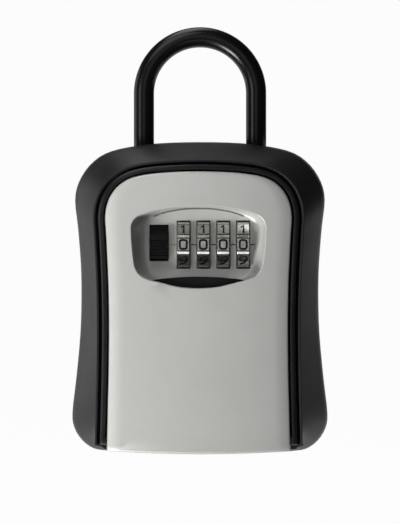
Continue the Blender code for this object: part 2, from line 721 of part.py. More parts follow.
def make_case():
    """Make the black casting: a tray with a beaded rim, the shackle's block and two hinge knuckles."""
    case = joined(
        [
            ring(offset(CASE, -CASE_BACK_CHAMFER), 0.0),
            ring(CASE, CASE_BACK_CHAMFER),
            ring(CASE, CASE_FRONT_DEPTH - CASE_BEAD),
            ring(offset(CASE, -CASE_BEAD / 3), CASE_FRONT_DEPTH - CASE_BEAD / 3),
            ring(offset(CASE, -CASE_BEAD), CASE_FRONT_DEPTH),
        ],
        "housing",
    )
    flare = offset(CAVITY, CASE_BEAD / 2)
    hollow = joined(
        [
            ring(CAVITY, CASE_BACK),
            ring(CAVITY, CASE_FRONT_DEPTH - CASE_BEAD),
            ring(flare, CASE_FRONT_DEPTH + SMALL_OVERRUN),
            ring(flare, CASE_FRONT_DEPTH + OVERRUN),
        ],
        "housing_hollow",
    )
    cut(case, hollow)
    floor_half = max(p.x for p in DOOR if p.y < -FOOT_KNEE_DROP) + CASE_FIT
    way = block("housing_foot_way", (-floor_half, BAND_DEPTH, -CASE_FOOT_DROP - OVERRUN),
                (floor_half, CASE_FRONT_DEPTH + OVERRUN, -CASE_FLOOR_DROP + FOOT_WAY_LIFT))
    cut(case, way)
    boss = block("shackle_block", (-BLOCK_HALF_WIDTH, CASE_BACK / 2, BLOCK_FOOT_RISE),
                 (BLOCK_HALF_WIDTH, BLOCK_DEPTH, DOOR_TOP_RISE + OVERRUN))
    limit = joined(
        [ring(offset(DOOR, DOOR_GAP + CASE_WALL / 2), -OVERRUN),
         ring(offset(DOOR, DOOR_GAP + CASE_WALL / 2), CASE_FRONT_DEPTH)],
        "shackle_block_limit",
    )
    change(boss, limit, "INTERSECT")
    add(case, boss)
    window_half = SHACKLE_ROD_RADIUS + LATCH_ENTRY
    low_x = -SHACKLE_HALF_SPACING - window_half - LATCH_END_WIDTH - LATCH_FIT
    high_x = SHACKLE_HALF_SPACING - window_half + LATCH_TRAVEL + LATCH_FIT
    pocket = block("latch_pocket", (low_x, LATCH_BACK_DEPTH - LATCH_FIT, LATCH_FOOT - LATCH_FIT),
                   (high_x, BLOCK_DEPTH + OVERRUN, LATCH_TOP + LATCH_FIT))
    cut(case, pocket)
    for side in (-1, 1):
        x = side * SHACKLE_HALF_SPACING
        bore = rod("leg_bore", at(x, SHACKLE_DEPTH, BLOCK_FOOT_RISE - OVERRUN),
                   at(x, SHACKLE_DEPTH, BODY_HALF_HEIGHT), SHACKLE_ROD_RADIUS + SHACKLE_BORE_FIT)
        tap = rod("latch_screw_hole", at(side * LATCH_SCREW_X, BLOCK_DEPTH - LATCH_SCREW_LENGTH, LATCH_SCREW_RISE),
                  at(side * LATCH_SCREW_X, BLOCK_DEPTH + OVERRUN, LATCH_SCREW_RISE),
                  SCREW_RADIUS + SCREW_FIT, SMALL_ROUND_STEPS)
        cut(case, bore, tap)
    strike = block("strike_hole",
                   (-BOLT_HALF_WIDTH - STRIKE_FIT, BOLT_BACK_DEPTH - STRIKE_FIT, DOOR_TOP_RISE - OVERRUN),
                   (BOLT_HALF_WIDTH + STRIKE_FIT, BOLT_FRONT_DEPTH + STRIKE_FIT, BODY_HALF_HEIGHT - OVERRUN))
    cut(case, strike)
    for side in (-1, 1):
        middle = side * CASE_KNUCKLE_X
        half = HINGE_KNUCKLE_WIDTH / 2
        lug = block("case_lug", (middle - half, BAND_DEPTH - OVERRUN, -HINGE_DROP - HINGE_KNUCKLE_RADIUS * 0.8),
                    (middle + half, HINGE_DEPTH, -HINGE_DROP + HINGE_KNUCKLE_RADIUS * 0.98))
        eye = rod("case_eye", HINGE + Vector((middle - half, 0, 0)), HINGE + Vector((middle + half, 0, 0)),
                  HINGE_KNUCKLE_RADIUS)
        add(case, lug, eye)
    cut(case, pin_hole("case_pin_hole"))
    return finish_part(case, CASE_BLACK, math.radians(35))


def pin_hole(name):
    """Make the cutter of the hinge pin's hole."""
    reach = Vector((DOOR_KNUCKLE_X + HINGE_KNUCKLE_WIDTH, 0, 0))
    return rod(name, HINGE - reach, HINGE + reach, HINGE_PIN_RADIUS + HINGE_PIN_FIT)


def make_hinge_pin():
    """Make the steel pin that passes through all four knuckles."""
    reach = Vector((DOOR_KNUCKLE_X + HINGE_KNUCKLE_WIDTH / 2 + HINGE_PIN_OVERHANG, 0, 0))
    pin = rod("hinge_pin", HINGE - reach, HINGE + reach, HINGE_PIN_RADIUS, origin=HINGE)
    return finish_part(pin, ZINC_STEEL, math.radians(40))


def make_latch_cover():
    """Make the plate that closes the latch pocket, and its two screws."""
    back = BLOCK_DEPTH + LATCH_FIT
    front = back + LATCH_COVER_THICK
    cover = plate(
        "latch_cover",
        rectangle(-LATCH_COVER_HALF_WIDTH, LATCH_COVER_HALF_WIDTH, LATCH_COVER_FOOT_RISE, LATCH_COVER_TOP_RISE),
        back,
        front,
    )
    way = block("tab_way", (-LATCH_TAB_HALF_WIDTH - LATCH_FIT, back - OVERRUN, LATCH_FOOT - LATCH_FIT),
                (LATCH_TAB_HALF_WIDTH + LATCH_TRAVEL + LATCH_FIT, front + OVERRUN, LATCH_TOP + LATCH_FIT))
    cut(cover, way)
    for side, number in ((-1, 1), (1, 2)):
        x = side * LATCH_SCREW_X
        hole = rod("latch_cover_hole", at(x, back - OVERRUN, LATCH_SCREW_RISE),
                   at(x, front + OVERRUN, LATCH_SCREW_RISE), SCREW_RADIUS + SCREW_FIT, SMALL_ROUND_STEPS)
        cut(cover, hole)
        screw(f"latch_screw_{number}", at(x, front + SCREW_FIT, LATCH_SCREW_RISE), Vector((0, 1, 0)),
              SCREW_RADIUS, LATCH_SCREW_LENGTH, SCREW_HEAD_RADIUS, LATCH_SCREW_HEAD, ZINC_STEEL)
    return finish_part(cover, ZINC_STEEL)


def make_shackle():
    """Make the notched steel rod, the black sleeve over its bow, and the latch plate."""
    middle = SHACKLE_TOP_RISE - SLEEVE_RADIUS - SHACKLE_HALF_SPACING
    bow = []
    for i in range(25):
        angle = math.pi * i / 24
        bow.append(at(-SHACKLE_HALF_SPACING * math.cos(angle), SHACKLE_DEPTH,
                      middle + SHACKLE_HALF_SPACING * math.sin(angle)))
    left = at(-SHACKLE_HALF_SPACING, SHACKLE_DEPTH, 0)
    right = at(SHACKLE_HALF_SPACING, SHACKLE_DEPTH, 0)
    sleeve_foot = Vector((0, 0, SLEEVE_FOOT_RISE))
    rod_foot = Vector((0, 0, SHACKLE_FOOT_RISE))
    bore_foot = Vector((0, 0, SLEEVE_FOOT_RISE - OVERRUN))
    sleeve = tube("shackle_sleeve", [left + sleeve_foot] + bow + [right + sleeve_foot], SLEEVE_RADIUS, 5)
    bore = tube("sleeve_bore", [left + bore_foot] + bow + [right + bore_foot],
                SHACKLE_ROD_RADIUS + SLEEVE_FIT, 4)
    cut(sleeve, bore)
    steel = tube("shackle", [left + rod_foot] + bow + [right + rod_foot], SHACKLE_ROD_RADIUS, 4)
    for side in (-1, 1):
        x = side * SHACKLE_HALF_SPACING
        notch = block("leg_notch", (x - SLEEVE_RADIUS, SHACKLE_DEPTH - SLEEVE_RADIUS, LATCH_FOOT - LATCH_FIT),
                      (x - SHACKLE_NOTCH_KEEP, SHACKLE_DEPTH + SLEEVE_RADIUS, LATCH_TOP + LATCH_FIT))
        cut(steel, notch)
    finish_part(steel, ZINC_STEEL, math.radians(35))
    finish_part(sleeve, GLOSS_BLACK, math.radians(35))
    holder = pivot("shackle_slide_axis", at(0, SHACKLE_DEPTH, SHACKLE_FOOT_RISE))
    carry(holder, steel, sleeve)


def make_latch():
    """Make the plate that slides into both leg notches, with its thumb tab."""
    window_half = SHACKLE_ROD_RADIUS + LATCH_ENTRY
    left_leg = -SHACKLE_HALF_SPACING
    low_x = left_leg - window_half - LATCH_END_WIDTH
    high_x = SHACKLE_HALF_SPACING - window_half
    latch = block("shackle_latch", (low_x, LATCH_BACK_DEPTH, LATCH_FOOT),
                  (high_x, BLOCK_DEPTH - LATCH_FIT, LATCH_TOP), at(0, BLOCK_DEPTH, LATCH_RISE))
    tab_front = BLOCK_DEPTH + LATCH_FIT + LATCH_COVER_THICK + LATCH_TAB_REACH
    tab = block("latch_tab", (-LATCH_TAB_HALF_WIDTH, BLOCK_DEPTH - OVERRUN, LATCH_FOOT),
                (LATCH_TAB_HALF_WIDTH, tab_front, LATCH_TOP))
    window = block("latch_window", (left_leg - window_half, SHACKLE_DEPTH - window_half, LATCH_FOOT - OVERRUN),
                   (left_leg + window_half, SHACKLE_DEPTH + window_half, LATCH_TOP + OVERRUN))
    add(latch, tab)
    cut(latch, window)
    return finish_part(latch, BRASS)


def rectangle(low_x, high_x, low_rise, high_rise):
    """Return the outline of an upright rectangle."""
    return [(low_x, low_rise), (high_x, low_rise), (high_x, high_rise), (low_x, high_rise)]


def side_plate(name, profile, low_x, high_x, origin=None):
    """Make a solid whose profile, in depth and rise, runs from one x to another."""
    curve = bpy.data.curves.new(name, "CURVE")
    curve.dimensions = "2D"
    curve.fill_mode = "BOTH"
    curve.extrude = (high_x - low_x) / 2
    line = curve.splines.new("POLY")
    line.points.add(len(profile) - 1)
    for point, (depth, rise) in zip(line.points, profile):
        point.co = (depth, rise, 0, 1)
    line.use_cyclic_u = True
    holder = bpy.data.objects.new(name, curve)
    CUTTERS.objects.link(holder)
    turn = Matrix(((0, 0, -1, 0), (-1, 0, 0, 0), (0, 1, 0, 0), (0, 0, 0, 1)))
    holder.matrix_world = Matrix.Translation(((low_x + high_x) / 2, 0, 0)) @ turn
    return mesh_of_curve(holder, name, origin)


def on_crown(points, lift):
    """Stand an outline up so that each point lies a lift in front of the door's crown."""
    return [at(p.x, crown_depth(p.x) + lift, p.y) for p in points]


def recess_edge(draw):
    """Return the window's outline drawn in by a share of the recess's draw."""
    wide = 1 - RECESS_SIDE_DRAW / WINDOW_HALF_WIDTH * draw
    tall = 1 - RECESS_END_DRAW / WINDOW_HALF_HEIGHT * draw
    return [Vector((p.x * wide, WINDOW_MIDDLE_RISE + (p.y - WINDOW_MIDDLE_RISE) * tall)) for p in WINDOW]


def recess_cutter():
    """Make the shape of the window's recess: a flat floor, hollow-curved sides and a rounded rim."""
    rings = []
    for turn in (0, 14, 28, 42, 58, 76):
        share = 1 - math.cos(math.radians(turn))
        rings.append([
            at(p.x, RECESS_FLOOR_DEPTH + (crown_depth(p.x) - WINDOW_LIP_ROUND - RECESS_FLOOR_DEPTH) * share, p.y)
            for p in recess_edge(1 - math.sin(math.radians(turn)))
        ])
    rings.append(on_crown(WINDOW, -WINDOW_LIP_ROUND))
    rings.append(on_crown(offset(WINDOW, WINDOW_LIP_ROUND * 0.3), -WINDOW_LIP_ROUND * 0.3))
    rings.append(on_crown(offset(WINDOW, WINDOW_LIP_ROUND), SMALL_OVERRUN / 4))
    rings.append(on_crown(offset(WINDOW, WINDOW_LIP_ROUND), OVERRUN))
    return joined(rings, "recess")


def slot_line_cutter():
    """Make the shape of the narrow gap along the upper edge of the recess's floor."""
    edge = recess_edge(1.0)
    inner = offset(edge, -SLOT_LINE_WIDTH)
    lowest = WINDOW_MIDDLE_RISE + WINDOW_HALF_HEIGHT * SLOT_LINE_LOWEST_SHARE
    reach = max(i for i in range(len(edge) // 2) if edge[i].y > lowest)
    upper = edge[-reach:] + edge[:reach + 1]
    lower = inner[-reach:] + inner[:reach + 1]
    points = upper + lower[::-1]
    return joined(
        [ring(points, RECESS_FLOOR_DEPTH - SLOT_LINE_DEPTH), ring(points, RECESS_FLOOR_DEPTH + SMALL_OVERRUN)],
        "slot_line",
    )


def shutter_sides(grow, top_add):
    """Return the upright cuts of the shutter's blade, widened and raised by the amounts given."""
    half = SHUTTER_BLADE_HALF_WIDTH + grow
    sides = []
    for i in range(CROWN_COLUMNS + 1):
        share = 2 * i / CROWN_COLUMNS - 1
        top = SHUTTER_TOP_RISE + top_add - SHUTTER_TOP_DROP * share ** 2
        sides.append((half * share, -SHUTTER_FOOT_DROP, top))
    return sides


def make_door():
    """Make the silver casting: crowned skin, returns, recess, dial chamber, posts, rails and knuckles."""
    door = crowned_solid("door_cover", DOOR, DOOR_RETURN_DEPTH, 0.0, DOOR_EDGE_ROUND, HINGE)
    hollow = crowned_solid("door_hollow", drawn_in(DOOR, DOOR_RETURN), DOOR_RETURN_DEPTH - OVERRUN, DOOR_SKIN, 0.0)
    cut(door, hollow)
    trough = crowned_solid("trough", offset(WINDOW, WINDOW_WALL), TROUGH_BACK_DEPTH, DOOR_SKIN / 2, 0.0)
    add(door, trough)
    chamber = block("chamber", (CHAMBER_LEFT - CHAMBER_WALL, CHAMBER_BACK_DEPTH, CHAMBER_FOOT - CHAMBER_WALL),
                    (CHAMBER_RIGHT + CHAMBER_WALL, TROUGH_BACK_DEPTH + RECESS_FLOOR_WALL / 2,
                     CHAMBER_TOP + CHAMBER_WALL))
    add(door, chamber)
    for x, rise in post_places():
        post = rod("cover_post", at(x, CHAMBER_BACK_DEPTH, rise), at(x, BOLT_BACK_DEPTH - CHAMBER_FIT, rise),
                   POST_RADIUS, SMALL_ROUND_STEPS)
        add(door, post)
    cut(door, recess_cutter())
    cut(door, block("chamber_hollow", (CHAMBER_LEFT, CHAMBER_BACK_DEPTH - OVERRUN, CHAMBER_FOOT),
                    (CHAMBER_RIGHT, TROUGH_BACK_DEPTH, CHAMBER_TOP)))
    for x in DIAL_XS:
        half = DIAL_WIDTH / 2 + DIAL_SLOT_FIT
        cut(door, rod("dial_slot", at(x - half, DIAL_AXIS_DEPTH, DIAL_AXIS_RISE),
                      at(x + half, DIAL_AXIS_DEPTH, DIAL_AXIS_RISE), DIAL_SWING + DIAL_SLOT_FIT))
    cut(door, block("slide_slot", (SLIDE_X - SLOT_HALF_WIDTH, TROUGH_BACK_DEPTH - OVERRUN, SLOT_FOOT_RISE),
                    (SLIDE_X + SLOT_HALF_WIDTH, RECESS_FLOOR_DEPTH + OVERRUN, SLOT_TOP_RISE)))
    line_half = INDEX_LINE_WIDTH / 2
    cut(door, block("index_line",
                    (SLIDE_X + SLOT_HALF_WIDTH - SMALL_OVERRUN, RECESS_FLOOR_DEPTH - INDEX_LINE_DEPTH,
                     DIAL_AXIS_RISE - line_half),
                    (DIAL_XS[-1] + DIAL_WIDTH, RECESS_FLOOR_DEPTH + INDEX_LINE_DEPTH, DIAL_AXIS_RISE + line_half)))
    reach = SHUTTER_TRAVEL + SHUTTER_FIT
    cut(door, curved_plate("shutter_channel", shutter_sides(SHUTTER_FIT, reach),
                           GUIDE_FRONT_DROP, SHUTTER_FRONT_DROP - CHANNEL_FIT))
    cut(door, slot_line_cutter())
    cut_axle_slots(door)
    for x, rise in post_places():
        cut(door, rod("post_bore", at(x, CHAMBER_BACK_DEPTH - OVERRUN, rise),
                      at(x, CHAMBER_BACK_DEPTH + POST_BORE_DEPTH, rise), POST_BORE_RADIUS, SMALL_ROUND_STEPS))
    for rise in SLIDE_SCREW_RISES:
        cut(door, rod("slide_screw_hole", at(SLIDE_X, TROUGH_BACK_DEPTH - OVERRUN, rise),
                      at(SLIDE_X, TROUGH_BACK_DEPTH + SLIDE_SCREW_BITE + SCREW_FIT, rise),
                      SLIDE_SCREW_RADIUS + SCREW_FIT, SMALL_ROUND_STEPS))
    cut(door, block("bolt_slot",
                    (-BOLT_HALF_WIDTH - BOLT_SLOT_FIT, DOOR_RETURN_DEPTH - OVERRUN, DOOR_TOP_RISE - 2 * OVERRUN),
                    (BOLT_HALF_WIDTH + BOLT_SLOT_FIT, BOLT_FRONT_DEPTH + BOLT_SLOT_FIT, DOOR_TOP_RISE + OVERRUN)))
    add_shutter_seats(door)
    add_door_knuckles(door)
    return finish_part(door, SATIN_SILVER, math.radians(32))


def post_places():
    """Return x and rise of the four posts that take the lock cover's screws."""
    left = CHAMBER_LEFT - CHAMBER_WALL - POST_RADIUS * 0.75
    right = CHAMBER_RIGHT + CHAMBER_WALL + POST_RADIUS * 0.75
    return [(x, DIAL_AXIS_RISE + side * POST_RISE) for x in (left, right) for side in (-1, 1)]


def cut_axle_slots(door):
    """Cut the open slots that the axle drops into from behind."""
    half = AXLE_RADIUS + AXLE_FIT
    low_x = CHAMBER_LEFT - CHAMBER_WALL - AXLE_OVERHANG
    high_x = CHAMBER_RIGHT + CHAMBER_WALL + AXLE_OVERHANG
    slot = block("axle_slot", (low_x, CHAMBER_BACK_DEPTH - OVERRUN, DIAL_AXIS_RISE - half),
                 (high_x, DIAL_AXIS_DEPTH, DIAL_AXIS_RISE + half))
    seat = rod("axle_seat", at(low_x, DIAL_AXIS_DEPTH, DIAL_AXIS_RISE), at(high_x, DIAL_AXIS_DEPTH, DIAL_AXIS_RISE),
               half)
    cut(door, slot, seat)


def add_shutter_seats(door):
    """Add the shutter's side rails and the posts that its guide plate is screwed to."""
    rail_x = SHUTTER_SKIRT_HALF_WIDTH + SHUTTER_FIT
    for side in (-1, 1):
        xs = sorted((side * rail_x, side * (rail_x + RAIL_THICK)))
        deep = crown_depth(rail_x + RAIL_THICK, SHUTTER_BACK_DROP)
        rail = block("shutter_rail", (xs[0], deep, -RAIL_FOOT_DROP),
                     (xs[1], crown_depth(rail_x + RAIL_THICK, DOOR_SKIN / 2), RAIL_TOP_RISE))
        x = side * GUIDE_SCREW_X
        post = rod("guide_post", at(x, crown_depth(x, SHUTTER_BACK_DROP), -GUIDE_SCREW_DROP),
                   at(x, crown_depth(x, DOOR_SKIN / 2), -GUIDE_SCREW_DROP), GUIDE_POST_RADIUS, SMALL_ROUND_STEPS)
        hole = rod("guide_post_hole", at(x, crown_depth(x, GUIDE_BACK_DROP), -GUIDE_SCREW_DROP),
                   at(x, crown_depth(x, GUIDE_SCREW_SKIN), -GUIDE_SCREW_DROP), SCREW_RADIUS + SCREW_FIT / 2,
                   SMALL_ROUND_STEPS)
        add(door, rail, post)
        cut(door, hole)
    stop = block("shutter_stop",
                 (-STOP_HALF_WIDTH, crown_depth(STOP_HALF_WIDTH, SHUTTER_BACK_DROP), -RAIL_FOOT_DROP),
                 (STOP_HALF_WIDTH, crown_depth(STOP_HALF_WIDTH, DOOR_SKIN / 2), -SHUTTER_FOOT_DROP - SHUTTER_FIT))
    add(door, stop)


def add_door_knuckles(door):
    """Clear the door's foot round the case's knuckles and add the door's own two."""
    below = -BODY_HALF_HEIGHT - OVERRUN
    way = curved_plate("foot_way", even_sides(DOOR_HALF_WIDTH + OVERRUN, below, -HINGE_DROP + DOOR_FOOT_RISE),
                       DOOR_FOOT_BACK_DROP, DOOR_FOOT_SKIN)
    cut(door, way)
    for side in (-1, 1):
        middle = side * DOOR_KNUCKLE_X
        half = HINGE_KNUCKLE_WIDTH / 2
        front = crown_depth(abs(middle) + half, DOOR_SKIN / 2)
        lug = block("door_lug", (middle - half, HINGE_DEPTH, -HINGE_DROP - HINGE_KNUCKLE_RADIUS * 0.98),
                    (middle + half, front, -HINGE_DROP + HINGE_KNUCKLE_RADIUS * 0.98))
        eye = rod("door_eye", HINGE + Vector((middle - half, 0, 0)), HINGE + Vector((middle + half, 0, 0)),
                  HINGE_KNUCKLE_RADIUS)
        add(door, lug, eye)
    cut(door, pin_hole("door_pin_hole"))


def circle(depth, rise, radius, steps=ROUND_STEPS):
    """Return a round profile in depth and rise."""
    turns = [2 * math.pi * i / steps for i in range(steps)]
    return [(depth + radius * math.cos(t), rise + radius * math.sin(t)) for t in turns]


def dial_profile():
    """Return a dial's profile: ten flats with a shallow groove at each corner."""
    half_flat = DIAL_RADIUS * math.tan(math.pi / DIAL_SIDES) - DIAL_GROOVE / 2
    spread = math.atan2(half_flat, DIAL_RADIUS)
    profile = []
    for i in range(DIAL_SIDES):
        face = 2 * math.pi * i / DIAL_SIDES
        corner = face + math.pi / DIAL_SIDES
        steps = (
            (face - spread, DIAL_SWING),
            (face + spread, DIAL_SWING),
            (corner, DIAL_SWING - DIAL_GROOVE_DEPTH),
        )
        for angle, radius in steps:
            profile.append((DIAL_AXIS_DEPTH + radius * math.cos(angle), DIAL_AXIS_RISE + radius * math.sin(angle)))
    return profile


def make_dials(holder):
    """Make the four dials, their gate discs and the axle they turn on."""
    profile = dial_profile()
    for number, x in enumerate(DIAL_XS, 1):
        half = DIAL_WIDTH / 2
        centre = at(x, DIAL_AXIS_DEPTH, DIAL_AXIS_RISE)
        dial = side_plate(f"dial_{number}", profile, x - half, x + half, centre)
        low_x = x + half + CAM_FIT
        high_x = low_x + CAM_WIDTH
        cam = side_plate(f"code_cam_{number}", circle(DIAL_AXIS_DEPTH, DIAL_AXIS_RISE, CAM_RADIUS), low_x, high_x,
                         centre)
        gate = block("cam_gate",
                     (low_x - OVERRUN, DIAL_AXIS_DEPTH - CAM_GATE / 2, DIAL_AXIS_RISE - CAM_RADIUS - OVERRUN),
                     (high_x + OVERRUN, DIAL_AXIS_DEPTH + CAM_GATE / 2,
                      DIAL_AXIS_RISE - CAM_RADIUS + CAM_GATE_DEPTH))
        cut(cam, gate)
        for piece, low, high in ((dial, x - half, x + half), (cam, low_x, high_x)):
            cut(piece, rod("axle_bore", at(low - OVERRUN, DIAL_AXIS_DEPTH, DIAL_AXIS_RISE),
                           at(high + OVERRUN, DIAL_AXIS_DEPTH, DIAL_AXIS_RISE), AXLE_RADIUS + AXLE_FIT))
        finish_part(dial, PLATED)
        finish_part(cam, BRASS, math.radians(30))
        carry(holder, dial, cam)
    low_x = CHAMBER_LEFT - CHAMBER_WALL - AXLE_OVERHANG
    high_x = CHAMBER_RIGHT + CHAMBER_WALL + AXLE_OVERHANG
    axle = rod("dial_axle", at(low_x, DIAL_AXIS_DEPTH, DIAL_AXIS_RISE), at(high_x, DIAL_AXIS_DEPTH, DIAL_AXIS_RISE),
               AXLE_RADIUS)
    finish_part(axle, ZINC_STEEL, math.radians(40))
    carry(holder, axle)


def make_lock_cover(holder):
    """Make the plate that closes the dial chamber, its screws and the index spring behind the dials."""
    back = CHAMBER_BACK_DEPTH - COVER_FIT - COVER_THICK
    front = CHAMBER_BACK_DEPTH - COVER_FIT
    places = post_places()
    side = POST_RADIUS + COVER_OVERHANG
    low_x = min(x for x, rise in places) - side
    high_x = max(x for x, rise in places) + side
    end = CHAMBER_WALL + COVER_OVERHANG
    cover = plate("lock_cover", rectangle(low_x, high_x, CHAMBER_FOOT - end, CHAMBER_TOP + end), back, front)
    for x in (CHAMBER_LEFT - CHAMBER_WALL, CHAMBER_RIGHT):
        prong = block("axle_prong", (x, back + COVER_THICK / 2, DIAL_AXIS_RISE - AXLE_RADIUS + AXLE_FIT / 2),
                      (x + CHAMBER_WALL, DIAL_AXIS_DEPTH - AXLE_RADIUS - COVER_FIT,
                       DIAL_AXIS_RISE + AXLE_RADIUS - AXLE_FIT / 2))
        add(cover, prong)
    stem = RESET_STEM_HALF + COVER_FIT
    cut(cover, block("reset_way", (RESET_X - stem, back - OVERRUN, RESET_RISE - stem),
                     (RESET_X + RESET_TRAVEL + stem, front + OVERRUN, RESET_RISE + stem)))
    for number, (x, rise) in enumerate(places, 1):
        cut(cover, rod("cover_hole", at(x, back - OVERRUN, rise), at(x, front + OVERRUN, rise),
                       SCREW_RADIUS + SCREW_FIT, SMALL_ROUND_STEPS))
        piece = screw(f"cover_screw_{number}", at(x, back - SCREW_FIT, rise), Vector((0, -1, 0)), SCREW_RADIUS,
                      SCREW_LENGTH, SCREW_HEAD_RADIUS, SCREW_HEAD_HEIGHT, ZINC_STEEL)
        carry(holder, piece)
    finish_part(cover, ZINC_STEEL)
    carry(holder, cover, make_index_spring())


def make_index_spring():
    """Make the comb of leaf fingers that rests behind the dials."""
    half = INDEX_FINGER_WIDTH / 2
    top = CHAMBER_TOP - CHAMBER_FIT
    foot = top - INDEX_BASE_HEIGHT
    low_x = DIAL_XS[0] - INDEX_FINGER_WIDTH * 0.7
    high_x = DIAL_XS[-1] + INDEX_FINGER_WIDTH * 0.7
    comb = [(low_x, foot), (low_x, top), (high_x, top), (high_x, foot)]
    for x in reversed(DIAL_XS):
        tip = foot - INDEX_FINGER_LENGTH
        comb += [(x + half, foot), (x + half, tip), (x - half, tip), (x - half, foot)]
    spring = plate("index_spring", comb, CHAMBER_BACK_DEPTH, CHAMBER_BACK_DEPTH + INDEX_SPRING_THICK)
    return finish_part(spring, ZINC_STEEL)


def make_bolt():
    """Make the plate that the release slide moves, with the bolt that enters the case."""
    low_x = SLIDE_X - BOLT_BAR_HALF_WIDTH
    high_x = SLIDE_X + BOLT_BAR_HALF_WIDTH
    cross_top = BOLT_CROSS_RISE + BOLT_CROSS_HEIGHT
    tip = DOOR_TOP_RISE - BOLT_TOP_SETBACK
    half = BOLT_HALF_WIDTH
    bolt = plate(
        "latch_bolt",
        [(low_x, BOLT_FOOT_RISE), (high_x, BOLT_FOOT_RISE), (high_x, BOLT_CROSS_RISE),
         (BOLT_CROSS_END, BOLT_CROSS_RISE), (BOLT_CROSS_END, cross_top), (half, cross_top), (half, tip),
         (-half, tip), (-half, cross_top), (low_x, cross_top)],
        BOLT_BACK_DEPTH,
        BOLT_FRONT_DEPTH,
    )
    hole = SLIDE_SCREW_RADIUS + SCREW_FIT
    for rise in SLIDE_SCREW_RISES:
        upper = rod("bolt_slot_top", at(SLIDE_X, BOLT_BACK_DEPTH - OVERRUN, rise),
                    at(SLIDE_X, BOLT_FRONT_DEPTH + OVERRUN, rise), hole)
        lower = rod("bolt_slot_foot", at(SLIDE_X, BOLT_BACK_DEPTH - OVERRUN, rise - SLIDE_TRAVEL),
                    at(SLIDE_X, BOLT_FRONT_DEPTH + OVERRUN, rise - SLIDE_TRAVEL), hole)
        between = block("bolt_slot_middle", (SLIDE_X - hole, BOLT_BACK_DEPTH - OVERRUN, rise - SLIDE_TRAVEL),
                        (SLIDE_X + hole, BOLT_FRONT_DEPTH + OVERRUN, rise))
        cut(bolt, upper, lower, between)
    cut(bolt, rod("rivet_hole", at(SLIDE_X, BOLT_BACK_DEPTH - OVERRUN, DIAL_AXIS_RISE),
                  at(SLIDE_X, BOLT_FRONT_DEPTH + OVERRUN, DIAL_AXIS_RISE), RIVET_RADIUS + BUTTON_FIT))
    return finish_part(bolt, ZINC_STEEL)


def button_profile():
    """Return the raised part's profile: a ridged face and a sloped shoulder at the top."""
    front = RECESS_FLOOR_DEPTH + BUTTON_STAND
    back = BASE_FRONT_DEPTH - BUTTON_BASE_THICK / 2
    profile = [(back, BUTTON_FOOT_RISE), (front, BUTTON_FOOT_RISE)]
    pitch = BUTTON_RIDGE_SPAN / BUTTON_RIDGES
    half = BUTTON_RIDGE_WIDTH / 2
    for i in range(BUTTON_RIDGES):
        middle = BUTTON_FOOT_RISE + BUTTON_RIDGE_MARGIN + pitch * (i + 0.5)
        profile += [(front, middle - half), (front - BUTTON_RIDGE_CUT, middle - half / 2),
                    (front - BUTTON_RIDGE_CUT, middle + half / 2), (front, middle + half)]
    return profile + [(front, BUTTON_TOP_RISE - BUTTON_SLOPE), (front - BUTTON_SLOPE_DROP, BUTTON_TOP_RISE),
                      (back, BUTTON_TOP_RISE)]


def make_release_slide():
    """Make the ridged release button, its bolt plate and the rivet that joins them."""
    place = at(SLIDE_X, RECESS_FLOOR_DEPTH, DIAL_AXIS_RISE)
    base_foot = SLOT_FOOT_RISE - SLIDE_TRAVEL - BUTTON_BASE_LAP
    base_top = SLOT_TOP_RISE + BUTTON_BASE_LAP
    button = plate(
        "slider_button",
        rectangle(SLIDE_X - BUTTON_BASE_HALF_WIDTH, SLIDE_X + BUTTON_BASE_HALF_WIDTH, base_foot, base_top),
        BASE_BACK_DEPTH,
        BASE_FRONT_DEPTH,
        place,
    )
    half = SLOT_HALF_WIDTH - BUTTON_FIT
    add(button, side_plate("button_body", button_profile(), SLIDE_X - half, SLIDE_X + half))
    tip = RECESS_FLOOR_DEPTH
    cut(button, rod("button_bore", at(SLIDE_X, BASE_BACK_DEPTH - OVERRUN, DIAL_AXIS_RISE),
                    at(SLIDE_X, tip + BUTTON_FIT, DIAL_AXIS_RISE), RIVET_RADIUS + BUTTON_FIT))
    finish_part(button, GLOSS_BLACK)
    seat = BOLT_BACK_DEPTH - BUTTON_FIT
    rivet = rod("slide_rivet", at(SLIDE_X, seat - RIVET_HEAD / 2, DIAL_AXIS_RISE), at(SLIDE_X, tip, DIAL_AXIS_RISE),
                RIVET_RADIUS)
    add(rivet, rod("rivet_head", at(SLIDE_X, seat - RIVET_HEAD, DIAL_AXIS_RISE), at(SLIDE_X, seat, DIAL_AXIS_RISE),
                   RIVET_HEAD_RADIUS))
    finish_part(rivet, BRASS, math.radians(40))
    slide_axis = pivot("release_slide_axis", place)
    carry(slide_axis, button, make_bolt(), rivet)
    return slide_axis


